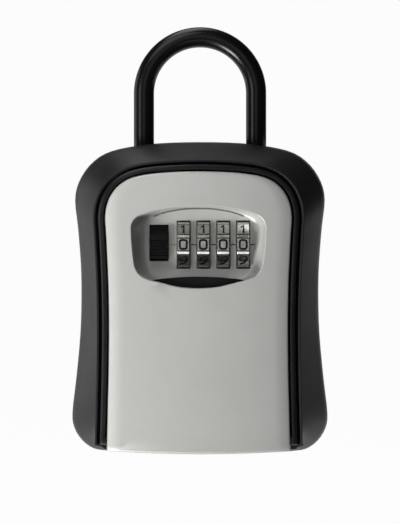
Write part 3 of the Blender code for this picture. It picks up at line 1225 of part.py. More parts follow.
def make_slide_screws(holder):
    """Make the two shoulder screws that guide the bolt plate, and the spring below its cross bar."""
    seat = BOLT_BACK_DEPTH - SCREW_FIT
    for number, rise in enumerate(SLIDE_SCREW_RISES, 1):
        piece = screw(f"slide_screw_{number}", at(SLIDE_X, seat, rise), Vector((0, -1, 0)), SLIDE_SCREW_RADIUS,
                      TROUGH_BACK_DEPTH + SLIDE_SCREW_BITE - seat, SLIDE_SCREW_HEAD_RADIUS, SLIDE_SCREW_HEAD,
                      ZINC_STEEL)
        carry(holder, piece)
    foot = CHAMBER_TOP + CHAMBER_WALL + SPRING_FOOT_FIT + SPRING_WIRE_RADIUS
    top = BOLT_CROSS_RISE - BUTTON_FIT - SPRING_WIRE_RADIUS
    middle_depth = (BOLT_BACK_DEPTH + BOLT_FRONT_DEPTH) / 2
    count = SPRING_TURNS * SPRING_TURN_POINTS
    coil = []
    for i in range(count + 1):
        angle = 2 * math.pi * i / SPRING_TURN_POINTS
        coil.append(at(SPRING_X + SPRING_RADIUS * math.cos(angle), middle_depth + SPRING_RADIUS * math.sin(angle),
                       foot + (top - foot) * i / count))
    spring = tube("slider_spring", coil, SPRING_WIRE_RADIUS, 1, at(SPRING_X, middle_depth, foot))
    finish_part(spring, ZINC_STEEL, math.radians(60))
    carry(holder, spring)


def make_reset_lever():
    """Make the small lever that frees the dials for a new code."""
    base = block("reset_lever",
                 (RESET_X - RESET_BASE_HALF_WIDTH, CHAMBER_BACK_DEPTH, RESET_RISE - RESET_BASE_HALF_HEIGHT),
                 (RESET_X + RESET_BASE_HALF_WIDTH, CHAMBER_BACK_DEPTH + RESET_BASE_THICK,
                  RESET_RISE + RESET_BASE_HALF_HEIGHT),
                 at(RESET_X, CHAMBER_BACK_DEPTH, RESET_RISE))
    knob_front = CHAMBER_BACK_DEPTH - 2 * COVER_FIT - COVER_THICK
    stem = block("reset_stem",
                 (RESET_X - RESET_STEM_HALF, knob_front - RESET_KNOB_THICK / 2, RESET_RISE - RESET_STEM_HALF),
                 (RESET_X + RESET_STEM_HALF, CHAMBER_BACK_DEPTH + RESET_BASE_THICK / 2,
                  RESET_RISE + RESET_STEM_HALF))
    knob = block("reset_knob",
                 (RESET_X - RESET_KNOB_HALF_WIDTH, knob_front - RESET_KNOB_THICK,
                  RESET_RISE - RESET_KNOB_HALF_HEIGHT),
                 (RESET_X + RESET_KNOB_HALF_WIDTH, knob_front, RESET_RISE + RESET_KNOB_HALF_HEIGHT))
    add(base, stem, knob)
    finish_part(base, BRASS)
    reset_axis = pivot("reset_slide_axis", at(RESET_X, CHAMBER_BACK_DEPTH, RESET_RISE))
    carry(reset_axis, base)
    return reset_axis


def make_shutter():
    """Make the sliding shutter: a blade with an arched top and a wider skirt between the rails."""
    skirt = []
    for x in (SHUTTER_SKIRT_HALF_WIDTH, (SHUTTER_SKIRT_HALF_WIDTH + SHUTTER_BLADE_HALF_WIDTH) / 2,
              SHUTTER_BLADE_HALF_WIDTH + SHUTTER_SLANT):
        skirt.append((x, -SHUTTER_FOOT_DROP, -SHUTTER_SHOULDER_DROP))
    left = [(-x, foot, top) for x, foot, top in skirt]
    sides = left + shutter_sides(0.0, 0.0) + list(reversed(skirt))
    place = at(0, crown_depth(0, SHUTTER_FRONT_DROP), SHUTTER_TOP_RISE)
    shutter = curved_plate("shutter", sides, SHUTTER_BACK_DROP, SHUTTER_FRONT_DROP, place)
    finish_part(shutter, SHUTTER_BLACK)
    shutter_axis = pivot("shutter_slide_axis", place)
    carry(shutter_axis, shutter)
    return shutter_axis


def make_shutter_guide(holder):
    """Make the curved plate that holds the shutter against the skin, and its two screws."""
    guide = curved_plate("shutter_guide", even_sides(GUIDE_HALF_WIDTH, -GUIDE_FOOT_DROP, -GUIDE_TOP_DROP),
                         GUIDE_BACK_DROP, GUIDE_FRONT_DROP)
    for side, number in ((-1, 1), (1, 2)):
        x = side * GUIDE_SCREW_X
        cut(guide, rod("guide_hole", at(x, crown_depth(x, GUIDE_BACK_DROP + OVERRUN), -GUIDE_SCREW_DROP),
                       at(x, crown_depth(x, GUIDE_FRONT_DROP - OVERRUN), -GUIDE_SCREW_DROP),
                       SCREW_RADIUS + SCREW_FIT, SMALL_ROUND_STEPS))
        seat = crown_depth(x, GUIDE_BACK_DROP) - SCREW_FIT * 1.5
        piece = screw(f"guide_screw_{number}", at(x, seat, -GUIDE_SCREW_DROP), Vector((0, -1, 0)), SCREW_RADIUS,
                      GUIDE_SCREW_LENGTH, SCREW_HEAD_RADIUS, LATCH_SCREW_HEAD, ZINC_STEEL)
        carry(holder, piece)
    finish_part(guide, ZINC_STEEL)
    carry(holder, guide)


def make_all():
    """Make every piece and parent the moving ones to empties on their axes."""
    make_bumper()
    make_case()
    make_hinge_pin()
    make_latch_cover()
    make_shackle()
    latch = make_latch()
    latch_axis = pivot("latch_slide_axis", at(0, BLOCK_DEPTH, LATCH_RISE))
    carry(latch_axis, latch)
    door_axis = pivot("door_hinge_axis", HINGE)
    carry(door_axis, make_door())
    make_dials(door_axis)
    make_lock_cover(door_axis)
    make_slide_screws(door_axis)
    make_shutter_guide(door_axis)
    carry(door_axis, make_release_slide(), make_reset_lever(), make_shutter())


make_all()
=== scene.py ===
"""The looks of a portable key lock box: finishes, dials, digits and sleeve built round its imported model.

Lengths are in metres in the model's own frame: X to the right, -Y out of the door, Z up. A size given in
millimetres is multiplied by MM.
"""

import json
import logging
import math
from dataclasses import dataclass, field
from enum import Enum, IntEnum
from typing import Any, Callable, Sequence, Union

import bmesh
import bpy
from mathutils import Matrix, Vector

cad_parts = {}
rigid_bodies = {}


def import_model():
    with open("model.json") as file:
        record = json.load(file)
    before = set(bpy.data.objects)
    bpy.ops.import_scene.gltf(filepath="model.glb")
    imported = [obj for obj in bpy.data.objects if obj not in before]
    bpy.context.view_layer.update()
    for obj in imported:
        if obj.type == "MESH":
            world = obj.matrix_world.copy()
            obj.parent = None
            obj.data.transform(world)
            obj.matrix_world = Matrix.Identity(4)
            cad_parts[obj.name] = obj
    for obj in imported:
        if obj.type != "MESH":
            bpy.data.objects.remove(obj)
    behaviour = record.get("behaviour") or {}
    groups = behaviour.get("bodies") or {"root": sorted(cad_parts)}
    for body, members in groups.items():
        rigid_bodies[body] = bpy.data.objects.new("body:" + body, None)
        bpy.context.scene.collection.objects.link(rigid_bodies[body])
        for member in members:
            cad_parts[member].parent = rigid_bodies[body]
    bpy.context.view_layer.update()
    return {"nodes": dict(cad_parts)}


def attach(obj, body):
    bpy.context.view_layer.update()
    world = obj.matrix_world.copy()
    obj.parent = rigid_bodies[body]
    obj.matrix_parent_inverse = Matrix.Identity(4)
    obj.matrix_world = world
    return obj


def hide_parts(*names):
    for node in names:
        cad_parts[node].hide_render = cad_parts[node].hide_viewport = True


MM = 0.001
WELD_DISTANCE = 0.002 * MM
SMOOTH_ANGLE = math.radians(34)
DIAL_COUNT = 4
LOG = logging.getLogger("key_lock_box")

Point = tuple[float, float]
Triple = tuple[float, float, float]
Colour = Triple
Settings = dict[str, Any]
Inputs = dict[Union[str, int], Any]
Owner = Union[bpy.types.Material, bpy.types.World]
Number = Union[float, "Signal"]
Operand = Union[float, Colour, "Signal"]

PLAIN_WHITE: Colour = (1.0, 1.0, 1.0)
SOFT_WHITE: Colour = (0.8, 0.8, 0.8)
EVEN: Triple = (1.0, 1.0, 1.0)

# Parts of a vector socket and of a colour socket
VECTOR_WIDTH = 3
COLOUR_WIDTH = 4

# Sockets of a Mix node that is set to colours, by number
MIX_MASK = 0
MIX_FIRST = 6
MIX_SECOND = 7
MIX_RESULT = 2


def clear_start_scene() -> None:
    """Remove whatever the empty start scene holds."""
    for item in list(bpy.data.objects):
        bpy.data.objects.remove(item, do_unlink=True)


def opaque(colour: Colour) -> tuple[float, float, float, float]:
    """Return a colour with full opacity."""
    return (*colour, 1.0)


def widened(part: Operand, width: int) -> Operand:
    """Return a plain number or colour with as many parts as a socket takes.

    Args:
        part: A number, a colour or a signal, which is left as it is.
        width: The socket's parts, VECTOR_WIDTH or COLOUR_WIDTH.

    Returns:
        The part in that width.
    """
    if isinstance(part, Signal):
        return part
    parts = part if isinstance(part, tuple) else (part,) * VECTOR_WIDTH
    return opaque(parts) if width == COLOUR_WIDTH else parts


class Signal:
    """A node's output socket that can stand in Python expressions.

    Values go to Math nodes, colours to Mix nodes and vectors to Vector Math nodes.
    """

    def __init__(self, graph: "Graph", socket: bpy.types.NodeSocket) -> None:
        """Keep the graph and the socket."""
        self.graph = graph
        self.socket = socket

    def _with(self, operation: str, first: Operand, second: Operand) -> "Signal":
        """Add the node that suits both operands.

        Args:
            operation: The node's operation.
            first: Its first input.
            second: Its second input.

        Returns:
            The result's signal.
        """
        kinds = {part.socket.type for part in (first, second) if isinstance(part, Signal)}
        if "RGBA" in kinds:
            return self.graph.mixed(1.0, first, second, operation)
        if "VECTOR" in kinds:
            inputs = {0: widened(first, VECTOR_WIDTH), 1: widened(second, VECTOR_WIDTH)}
            return self.graph.make("ShaderNodeVectorMath", {"operation": operation}, inputs)
        return self.graph.make("ShaderNodeMath", {"operation": operation}, {0: first, 1: second})

    def __add__(self, other: Operand) -> "Signal":
        """Add."""
        return self._with("ADD", self, other)

    def __radd__(self, other: Operand) -> "Signal":
        """Add, reflected."""
        return self._with("ADD", other, self)

    def __sub__(self, other: Operand) -> "Signal":
        """Subtract."""
        return self._with("SUBTRACT", self, other)

    def __rsub__(self, other: Operand) -> "Signal":
        """Subtract, reflected."""
        return self._with("SUBTRACT", other, self)

    def __mul__(self, other: Operand) -> "Signal":
        """Multiply."""
        return self._with("MULTIPLY", self, other)

    def __rmul__(self, other: Operand) -> "Signal":
        """Multiply, reflected."""
        return self._with("MULTIPLY", other, self)

    def ramp(self, low: float, high: float) -> "Signal":
        """Return 0 below low, 1 above high and a smooth rise between them."""
        inputs = {"Value": self, "From Min": low, "From Max": high}
        return self.graph.make("ShaderNodeMapRange", {"interpolation_type": "SMOOTHSTEP"}, inputs)


class Graph:
    """The node tree of one material or world."""

    seen_rays: tuple[str, ...] = ("Is Camera Ray", "Is Glossy Ray", "Is Transmission Ray")
    noise_roughness: float = 0.55
    bevel_samples: int = 6
    edge_ramp: Point = (0.01, 0.16)

    def __init__(self, owner: Owner) -> None:
        """Empty the tree and give it its output.

        Args:
            owner: The new material or world.
        """
        owner.use_nodes = True
        self.owner = owner
        self.nodes = owner.node_tree.nodes
        self.links = owner.node_tree.links
        self.nodes.clear()
        in_world = isinstance(owner, bpy.types.World)
        self.output = self.nodes.new("ShaderNodeOutputWorld" if in_world else "ShaderNodeOutputMaterial")

    def node(self, kind: str, settings: Settings, inputs: Inputs) -> bpy.types.Node:
        """Add any node.

        Args:
            kind: The node's type name.
            settings: Its settings, set first.
            inputs: Values or signals for its sockets, by name or number.

        Returns:
            The node.
        """
        made = self.nodes.new(kind)
        for name, value in settings.items():
            setattr(made, name, value)
        for key, value in inputs.items():
            if isinstance(value, Signal):
                self.links.new(value.socket, made.inputs[key])
            else:
                made.inputs[key].default_value = value
        return made

    def make(self, kind: str, settings: Settings, inputs: Inputs, output: Union[str, int] = 0) -> Signal:
        """Add any node and return one of its outputs.

        Args:
            kind: The node's type name.
            settings: Its settings, set first.
            inputs: Values or signals for its sockets.
            output: The output's name or number.

        Returns:
            That output's signal.
        """
        return Signal(self, self.node(kind, settings, inputs).outputs[output])

    def seen(self) -> Signal:
        """Tell rays that show the scene from those that only light it.

        Returns:
            1 for a ray from the camera, off a glossy surface or through glass, and 0 for any other.
        """
        path = self.node("ShaderNodeLightPath", {}, {})
        camera, glossy, through = (Signal(self, path.outputs[name]) for name in self.seen_rays)
        return (camera + glossy + through).ramp(0.0, 1.0)

    def place(self, stretch: Triple = EVEN) -> Signal:
        """Return the point on the piece in millimetres, stretched along each axis."""
        here = self.make("ShaderNodeTexCoord", {}, {}, "Object")
        return here * tuple(part / MM for part in stretch)

    def noise(self, scale: float, detail: float, stretch: Triple = EVEN) -> Signal:
        """Add cloudy noise.

        Args:
            scale: Its waves a millimetre.
            detail: How many finer layers it has.
            stretch: How far it is drawn together along each axis.

        Returns:
            The noise, from 0 to 1.
        """
        return self.make("ShaderNodeTexNoise", {}, {
            "Vector": self.place(stretch),
            "Scale": scale,
            "Detail": detail,
            "Roughness": self.noise_roughness,
        })

    def cells(self, scale: float) -> Signal:
        """Return a random level for each cell of that many cells a millimetre."""
        colour = self.make("ShaderNodeTexVoronoi", {}, {"Vector": self.place(), "Scale": scale}, "Color")
        return self.make("ShaderNodeSeparateColor", {}, {"Color": colour}, "Red")

    def mixed(self, mask: Number, low: Operand, high: Operand, blend: str = "MIX") -> Signal:
        """Mix two colours by a mask.

        Args:
            mask: 0 for the first colour, 1 for its blend with the second.
            low: The first colour.
            high: The second colour.
            blend: How the second goes with the first.

        Returns:
            The mixed colour.
        """
        first = widened(low, COLOUR_WIDTH)
        second = widened(high, COLOUR_WIDTH)
        inputs = {MIX_MASK: mask, MIX_FIRST: first, MIX_SECOND: second}
        return self.make("ShaderNodeMix", {"data_type": "RGBA", "blend_type": blend}, inputs, MIX_RESULT)

    def rounded_normal(self, radius: float) -> Signal:
        """Return the normal as if each edge had a small round."""
        return self.make("ShaderNodeBevel", {"samples": self.bevel_samples}, {"Radius": radius})

    def edge(self, radius: float) -> Signal:
        """Find the sharp edges.

        Args:
            radius: How far from an edge it still shows, in metres.

        Returns:
            1 along the edges, falling to 0 a radius away.
        """
        flat = self.make("ShaderNodeNewGeometry", {}, {}, "Normal")
        inputs = {0: self.rounded_normal(radius), 1: flat}
        dot = self.make("ShaderNodeVectorMath", {"operation": "DOT_PRODUCT"}, inputs, "Value")
        return (1 - dot).ramp(*self.edge_ramp)

    def bump(self, height: Signal, reach: float, strength: float, under: Signal) -> Signal:
        """Return a normal roughened by a height.

        Args:
            height: The height, from 0 to 1.
            reach: The depth that 1 stands for, in metres.
            strength: How much of it shows.
            under: The normal below it.

        Returns:
            The new normal.
        """
        inputs = {"Strength": strength, "Distance": reach, "Height": height, "Normal": under}
        return self.make("ShaderNodeBump", {}, inputs)

    def close(self, surface: Signal) -> Owner:
        """Link the surface to the output and return the material or world."""
        self.links.new(surface.socket, self.output.inputs["Surface"])
        return self.owner


class Grain(Enum):
    """The small relief of a surface."""

    PAINT = "paint"
    MOULDED = "moulded"
    BRUSHED = "brushed"
    SMOOTH = "smooth"


@dataclass(frozen=True)
class Layer:
    """One layer of noise in a grain's height, with shares of the finish's scale and of the height."""

    detail: float
    scale_share: float = 1.0
    height_share: float = 1.0
    stretch: Triple = EVEN


GRAIN_LAYERS: dict[Grain, tuple[Layer, ...]] = {
    Grain.PAINT: (Layer(3.0, height_share=0.6), Layer(1.0, scale_share=0.12, height_share=0.4)),
    Grain.MOULDED: (Layer(4.0, height_share=0.7), Layer(2.0, scale_share=0.35, height_share=0.3)),
    Grain.BRUSHED: (Layer(3.0, stretch=(0.04, 1.0, 1.0)),),
    Grain.SMOOTH: (Layer(1.0),),
}

# How clouds, paint flecks and scratches vary a finish, with SCRATCH_SCALE in waves a millimetre
MIDDLE_LEVEL = 0.5
CLOUD_DETAIL = 3.0
CLOUD_RAMP = (0.25, 0.75)
FLECK_SCALE_SHARE = 2.2
FLECK_RAMP = (0.80, 1.0)
FLECK_SHARE = 0.5
FLECK_GAIN = 1.22
SCRATCH_SCALE = 1.6
SCRATCH_DETAIL = 4.0
SCRATCH_RAMP = (0.42, 0.62)
WEAR_REACH_SHARE = 1.2


@dataclass(frozen=True)
class Finish:
    """One surface finish and how it varies."""

    name: str
    colour: Colour
    shade: Colour
    roughness: float
    grain: Grain
    roughness_spread: float = 0.08
    metallic: float = 0.0
    specular: float = 0.5
    coat: float = 0.0
    coat_roughness: float = 0.1
    edge_colour: Colour = (0.5, 0.5, 0.5)
    edge_wear: float = 0.0
    edge_round: float = 0.25 * MM
    grain_scale: float = 4.0
    grain_depth: float = 0.02 * MM
    grain_strength: float = 0.3
    cloud_scale: float = 0.05

    def relief(self, graph: Graph) -> Signal:
        """Add up the layers of the grain.

        Args:
            graph: The material's graph.

        Returns:
            The height of the small relief.
        """
        heights = []
        for layer in GRAIN_LAYERS[self.grain]:
            waves = graph.noise(self.grain_scale * layer.scale_share, layer.detail, layer.stretch)
            heights.append(waves * layer.height_share)
        return sum(heights[1:], heights[0])

    def tint(self, graph: Graph, cloud: Signal) -> Signal:
        """Vary the colour by clouds, paint flecks and worn edges.

        Args:
            graph: The material's graph.
            cloud: 0 where the plain colour shows, 1 where its shade does.

        Returns:
            The colour.
        """
        colour = graph.mixed(cloud, self.colour, self.shade)
        if self.grain is Grain.PAINT:
            fleck = graph.cells(self.grain_scale * FLECK_SCALE_SHARE).ramp(*FLECK_RAMP)
            colour = graph.mixed(fleck * FLECK_SHARE, colour, colour * FLECK_GAIN)
        if self.edge_wear > 0:
            scratches = graph.noise(SCRATCH_SCALE, SCRATCH_DETAIL).ramp(*SCRATCH_RAMP)
            worn = graph.edge(self.edge_round * WEAR_REACH_SHARE) * scratches * self.edge_wear
            colour = graph.mixed(worn, colour, self.edge_colour)
        return colour

    def material(self) -> bpy.types.Material:
        """Build the material.

        Returns:
            The material, which has the finish's name.
        """
        graph = Graph(bpy.data.materials.new(self.name))
        cloud = graph.noise(self.cloud_scale, CLOUD_DETAIL).ramp(*CLOUD_RAMP)
        relief = self.relief(graph)
        spread = self.roughness_spread
        under = graph.rounded_normal(self.edge_round)
        return graph.close(graph.make("ShaderNodeBsdfPrincipled", {}, {
            "Base Color": self.tint(graph, cloud),
            "Roughness": self.roughness + (cloud - MIDDLE_LEVEL) * spread + (relief - MIDDLE_LEVEL) * spread,
            "Metallic": self.metallic,
            "Specular IOR Level": self.specular,
            "Coat Weight": self.coat,
            "Coat Roughness": self.coat_roughness,
            "Normal": graph.bump(relief, self.grain_depth, self.grain_strength, under),
        }))


SATIN_SILVER = Finish(
    name="satin_silver_paint", colour=(0.535, 0.535, 0.517), shade=(0.505, 0.505, 0.487),
    roughness=0.42, roughness_spread=0.06, metallic=0.3, specular=0.3,
    edge_colour=(0.66, 0.66, 0.64), edge_wear=0.35, edge_round=0.35 * MM,
    grain=Grain.PAINT, grain_scale=5.0, grain_depth=0.012 * MM, grain_strength=0.22)
BUMPER_BLACK = Finish(
    name="moulded_black", colour=(0.009, 0.009, 0.0093), shade=(0.012, 0.012, 0.0123),
    roughness=0.44, roughness_spread=0.10, specular=0.34,
    edge_colour=(0.05, 0.05, 0.05), edge_wear=0.25, edge_round=0.5 * MM,
    grain=Grain.MOULDED, grain_scale=3.0, grain_depth=0.03 * MM, grain_strength=0.35)
CASE_BLACK = Finish(
    name="cast_black_paint", colour=(0.004, 0.004, 0.004), shade=(0.006, 0.006, 0.006),
    roughness=0.30, roughness_spread=0.08, specular=0.35,
    edge_colour=(0.06, 0.06, 0.06), edge_wear=0.3, edge_round=0.4 * MM,
    grain=Grain.PAINT, grain_scale=2.0, grain_depth=0.02 * MM, grain_strength=0.2)
GLOSS_BLACK = Finish(
    name="gloss_black_sleeve", colour=(0.003, 0.003, 0.003), shade=(0.004, 0.004, 0.004),
    roughness=0.24, roughness_spread=0.06, specular=0.2, coat=0.05, coat_roughness=0.2,
    edge_round=0.3 * MM,
    grain=Grain.SMOOTH, grain_scale=0.5, grain_depth=0.05 * MM, grain_strength=0.12)
SHUTTER_BLACK = Finish(
    name="shutter_black", colour=(0.004, 0.004, 0.004), shade=(0.006, 0.006, 0.006),
    roughness=0.42, specular=0.14,
    grain=Grain.MOULDED, grain_scale=4.0, grain_depth=0.015 * MM, grain_strength=0.2)
BUTTON_BLACK = Finish(
    name="button_black", colour=(0.003, 0.003, 0.003), shade=(0.004, 0.004, 0.004),
    roughness=0.34, specular=0.14, edge_round=0.12 * MM,
    grain=Grain.SMOOTH, grain_scale=1.0, grain_depth=0.01 * MM)
DIAL_PLATED = Finish(
    name="dial_plated", colour=(0.46, 0.455, 0.435), shade=(0.33, 0.325, 0.31),
    roughness=0.21, roughness_spread=0.10, metallic=1.0,
    edge_colour=(0.80, 0.79, 0.76), edge_wear=0.7, edge_round=0.12 * MM,
    grain=Grain.BRUSHED, grain_scale=9.0, grain_depth=0.01 * MM, grain_strength=0.25, cloud_scale=0.5)
# Painted shade: the dials' grooves, their walls and the slopes to the corners are the same plated metal,
# coloured dark to stand in for the shade in them
DIAL_GROOVE_PAINTED_SHADE = Finish(
    name="dial_groove_painted_shade", colour=(0.10, 0.10, 0.09), shade=(0.05, 0.05, 0.045),
    roughness=0.5, roughness_spread=0.15, metallic=0.7, edge_round=0.06 * MM,
    grain=Grain.BRUSHED, grain_scale=8.0, cloud_scale=0.6)
# Painted highlight: the flat at each dial corner is the same plated metal, coloured far brighter to stand in
# for the light it reflects
DIAL_BAR_PAINTED_HIGHLIGHT = Finish(
    name="dial_bar_painted_highlight", colour=(0.86, 0.85, 0.82), shade=(0.78, 0.77, 0.74),
    roughness=0.22, roughness_spread=0.08, metallic=1.0, edge_round=0.08 * MM,
    grain=Grain.BRUSHED, grain_scale=9.0, grain_depth=0.006 * MM, grain_strength=0.15, cloud_scale=0.5)
DIGIT_BLACK = Finish(
    name="digit_black", colour=(0.004, 0.004, 0.004), shade=(0.007, 0.007, 0.007),
    roughness=0.5, specular=0.15, edge_round=0.05 * MM,
    grain=Grain.SMOOTH, grain_scale=6.0)
ZINC_STEEL = Finish(
    name="zinc_steel", colour=(0.56, 0.57, 0.58), shade=(0.48, 0.48, 0.48),
    roughness=0.34, metallic=1.0,
    edge_colour=(0.75, 0.75, 0.74), edge_wear=0.5, edge_round=0.15 * MM,
    grain=Grain.BRUSHED, grain_scale=5.0, cloud_scale=0.2)
SHACKLE_STEEL = Finish(
    name="shackle_steel", colour=(0.60, 0.61, 0.62), shade=(0.52, 0.52, 0.52),
    roughness=0.22, metallic=1.0,
    edge_colour=(0.8, 0.8, 0.8), edge_wear=0.4,
    grain=Grain.BRUSHED, grain_scale=3.0, cloud_scale=0.1)
PLAIN_BRASS = Finish(
    name="plain_brass", colour=(0.60, 0.42, 0.16), shade=(0.47, 0.31, 0.11),
    roughness=0.32, metallic=1.0,
    edge_colour=(0.78, 0.60, 0.30), edge_wear=0.5, edge_round=0.15 * MM,
    grain=Grain.BRUSHED, grain_scale=5.0, cloud_scale=0.3)


class Wardrobe:
    """Makes each finish's material once."""

    def __init__(self) -> None:
        """Start with no materials."""
        self.made: dict[str, bpy.types.Material] = {}

    def of(self, finish: Finish) -> bpy.types.Material:
        """Return the material of a finish.

        Args:
            finish: The finish.

        Returns:
            Its material, made at the first call.
        """
        if finish.name not in self.made:
            self.made[finish.name] = finish.material()
        return self.made[finish.name]

    def dress(self, piece: bpy.types.Object, *finishes: Finish) -> None:
        """Give a piece its finishes, one for each of its slots.

        Args:
            piece: A piece, with or without slots.
            finishes: The finishes in the slots' order.
        """
        if not piece.material_slots:
            for finish in finishes:
                piece.data.materials.append(self.of(finish))
            return
        for slot, finish in zip(piece.material_slots, finishes):
            slot.link = "OBJECT"
            slot.material = self.of(finish)


class SoftShading:
    """A modifier that shades a faceted piece smoothly and keeps its sharp edges."""

    def __init__(self) -> None:
        """Build the node group once."""
        self.group = bpy.data.node_groups.new("shade_by_angle", "GeometryNodeTree")
        for way in ("INPUT", "OUTPUT"):
            self.group.interface.new_socket("Geometry", in_out=way, socket_type="NodeSocketGeometry")
        start = self.group.nodes.new("NodeGroupInput")
        end = self.group.nodes.new("NodeGroupOutput")
        bare = self._step("GeometryNodeRemoveAttribute", start)
        bare.inputs["Name"].default_value = "custom_normal"
        weld = self._step("GeometryNodeMergeByDistance", bare)
        weld.inputs["Distance"].default_value = WELD_DISTANCE
        faces = self._step("GeometryNodeSetShadeSmooth", weld)
        faces.domain = "FACE"
        faces.inputs["Shade Smooth"].default_value = True
        edges = self._step("GeometryNodeSetShadeSmooth", faces)
        edges.domain = "EDGE"
        edges.inputs["Shade Smooth"].default_value = False
        angle = self.group.nodes.new("GeometryNodeInputMeshEdgeAngle")
        sharp = self.group.nodes.new("FunctionNodeCompare")
        sharp.operation = "GREATER_THAN"
        sharp.inputs[1].default_value = SMOOTH_ANGLE
        self.group.links.new(angle.outputs[0], sharp.inputs[0])
        self.group.links.new(sharp.outputs[0], edges.inputs["Selection"])
        self.group.links.new(edges.outputs[0], end.inputs[0])

    def _step(self, kind: str, before: bpy.types.Node) -> bpy.types.Node:
        """Add a geometry node behind another.

        Args:
            kind: The node's type name.
            before: The node whose geometry it takes.

        Returns:
            The node.
        """
        made = self.group.nodes.new(kind)
        self.group.links.new(before.outputs[0], made.inputs[0])
        return made

    def apply(self, piece: bpy.types.Object) -> None:
        """Add the modifier to a piece."""
        modifier = piece.modifiers.new("shade_by_angle", "NODES")
        modifier.node_group = self.group


def new_piece(bm: bmesh.types.BMesh, name: str) -> bpy.types.Object:
    """Make a linked object from a mesh in the making, with its normals outwards.

    Args:
        bm: The mesh in the making, which is used up.
        name: The object's name.

    Returns:
        The object.
    """
    bmesh.ops.recalc_face_normals(bm, faces=bm.faces)
    mesh = bpy.data.meshes.new(name)
    bm.to_mesh(mesh)
    bm.free()
    piece = bpy.data.objects.new(name, mesh)
    bpy.context.scene.collection.objects.link(piece)
    return piece


def skin(bm: bmesh.types.BMesh, rings: Sequence[Sequence[Vector]], closed: bool = False,
         smooth: bool = True, slot_of: Callable[[int], int] = lambda place: 0) -> None:
    """Skin rings that have as many points each.

    Args:
        bm: The mesh that takes the faces.
        rings: The rings, in order.
        closed: Whether the last ring joins the first. An open row gets end faces.
        smooth: Whether the faces between the rings are shaded smoothly.
        slot_of: The material slot for each place round a ring.
    """
    rows = [[bm.verts.new(point) for point in ring] for ring in rings]
    pairs = list(zip(rows, rows[1:]))
    if closed:
        pairs.append((rows[-1], rows[0]))
    for first, second in pairs:
        count = len(first)
        for i in range(count):
            j = (i + 1) % count
            face = bm.faces.new((first[i], first[j], second[j], second[i]))
            face.material_index = slot_of(i)
            face.smooth = smooth
    if not closed:
        bm.faces.new(rows[0])
        bm.faces.new(rows[-1])


@dataclass
class Shackle:
    """The sleeve over the shackle's bow, drawn finer than its solid, with rounded ends."""

    half_spacing: float = 22.1 * MM
    depth: float = 15.0 * MM
    radius: float = 4.0 * MM
    bore: float = 3.4 * MM
    top: float = 106.0 * MM
    foot: float = 51.6 * MM
    lip: float = 0.35 * MM
    bow_steps: int = 72
    round_steps: int = 40

    def path(self) -> list[Vector]:
        """Lay out the centre line.

        Returns:
            Its places, from the left foot over the bow to the right foot.
        """
        middle = self.top - self.radius - self.half_spacing
        rises = (self.foot, self.foot + self.lip, (self.foot + middle) / 2)
        left = [Vector((-self.half_spacing, -self.depth, rise)) for rise in rises]
        bow = []
        for i in range(self.bow_steps + 1):
            turn = math.pi * i / self.bow_steps
            across = -self.half_spacing * math.cos(turn)
            bow.append(Vector((across, -self.depth, middle + self.half_spacing * math.sin(turn))))
        right = [Vector((-place.x, place.y, place.z)) for place in reversed(left)]
        return left + bow + right

    def ring(self, line: Sequence[Vector], i: int, radius: float) -> list[Vector]:
        """Draw a circle round one place of the centre line.

        Args:
            line: The centre line.
            i: The place's number.
            radius: The circle's radius.

        Returns:
            The circle's points.
        """
        before = line[max(i - 1, 0)]
        after = line[min(i + 1, len(line) - 1)]
        back = Vector((0, 1, 0))
        across = (after - before).normalized().cross(back).normalized()
        points = []
        for step in range(self.round_steps):
            turn = 2 * math.pi * step / self.round_steps
            points.append(line[i] + across * math.cos(turn) * radius + back * math.sin(turn) * radius)
        return points

    def build(self, wardrobe: Wardrobe) -> None:
        """Build the sleeve and let it ride with the shackle.

        Args:
            wardrobe: The materials.
        """
        line = self.path()
        last = len(line) - 1
        radii = [self.radius - (self.lip if i in (0, last) else 0) for i in range(len(line))]
        rings = [self.ring(line, i, radius) for i, radius in enumerate(radii)]
        rings += [self.ring(line, i, self.bore) for i in range(last, -1, -1)]
        bm = bmesh.new()
        skin(bm, rings, closed=True)
        sleeve = new_piece(bm, "sleeve_gloss")
        wardrobe.dress(sleeve, GLOSS_BLACK)
        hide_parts("shackle_sleeve")
        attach(sleeve, "shackle_body")
        LOG.info("sleeve_gloss built")


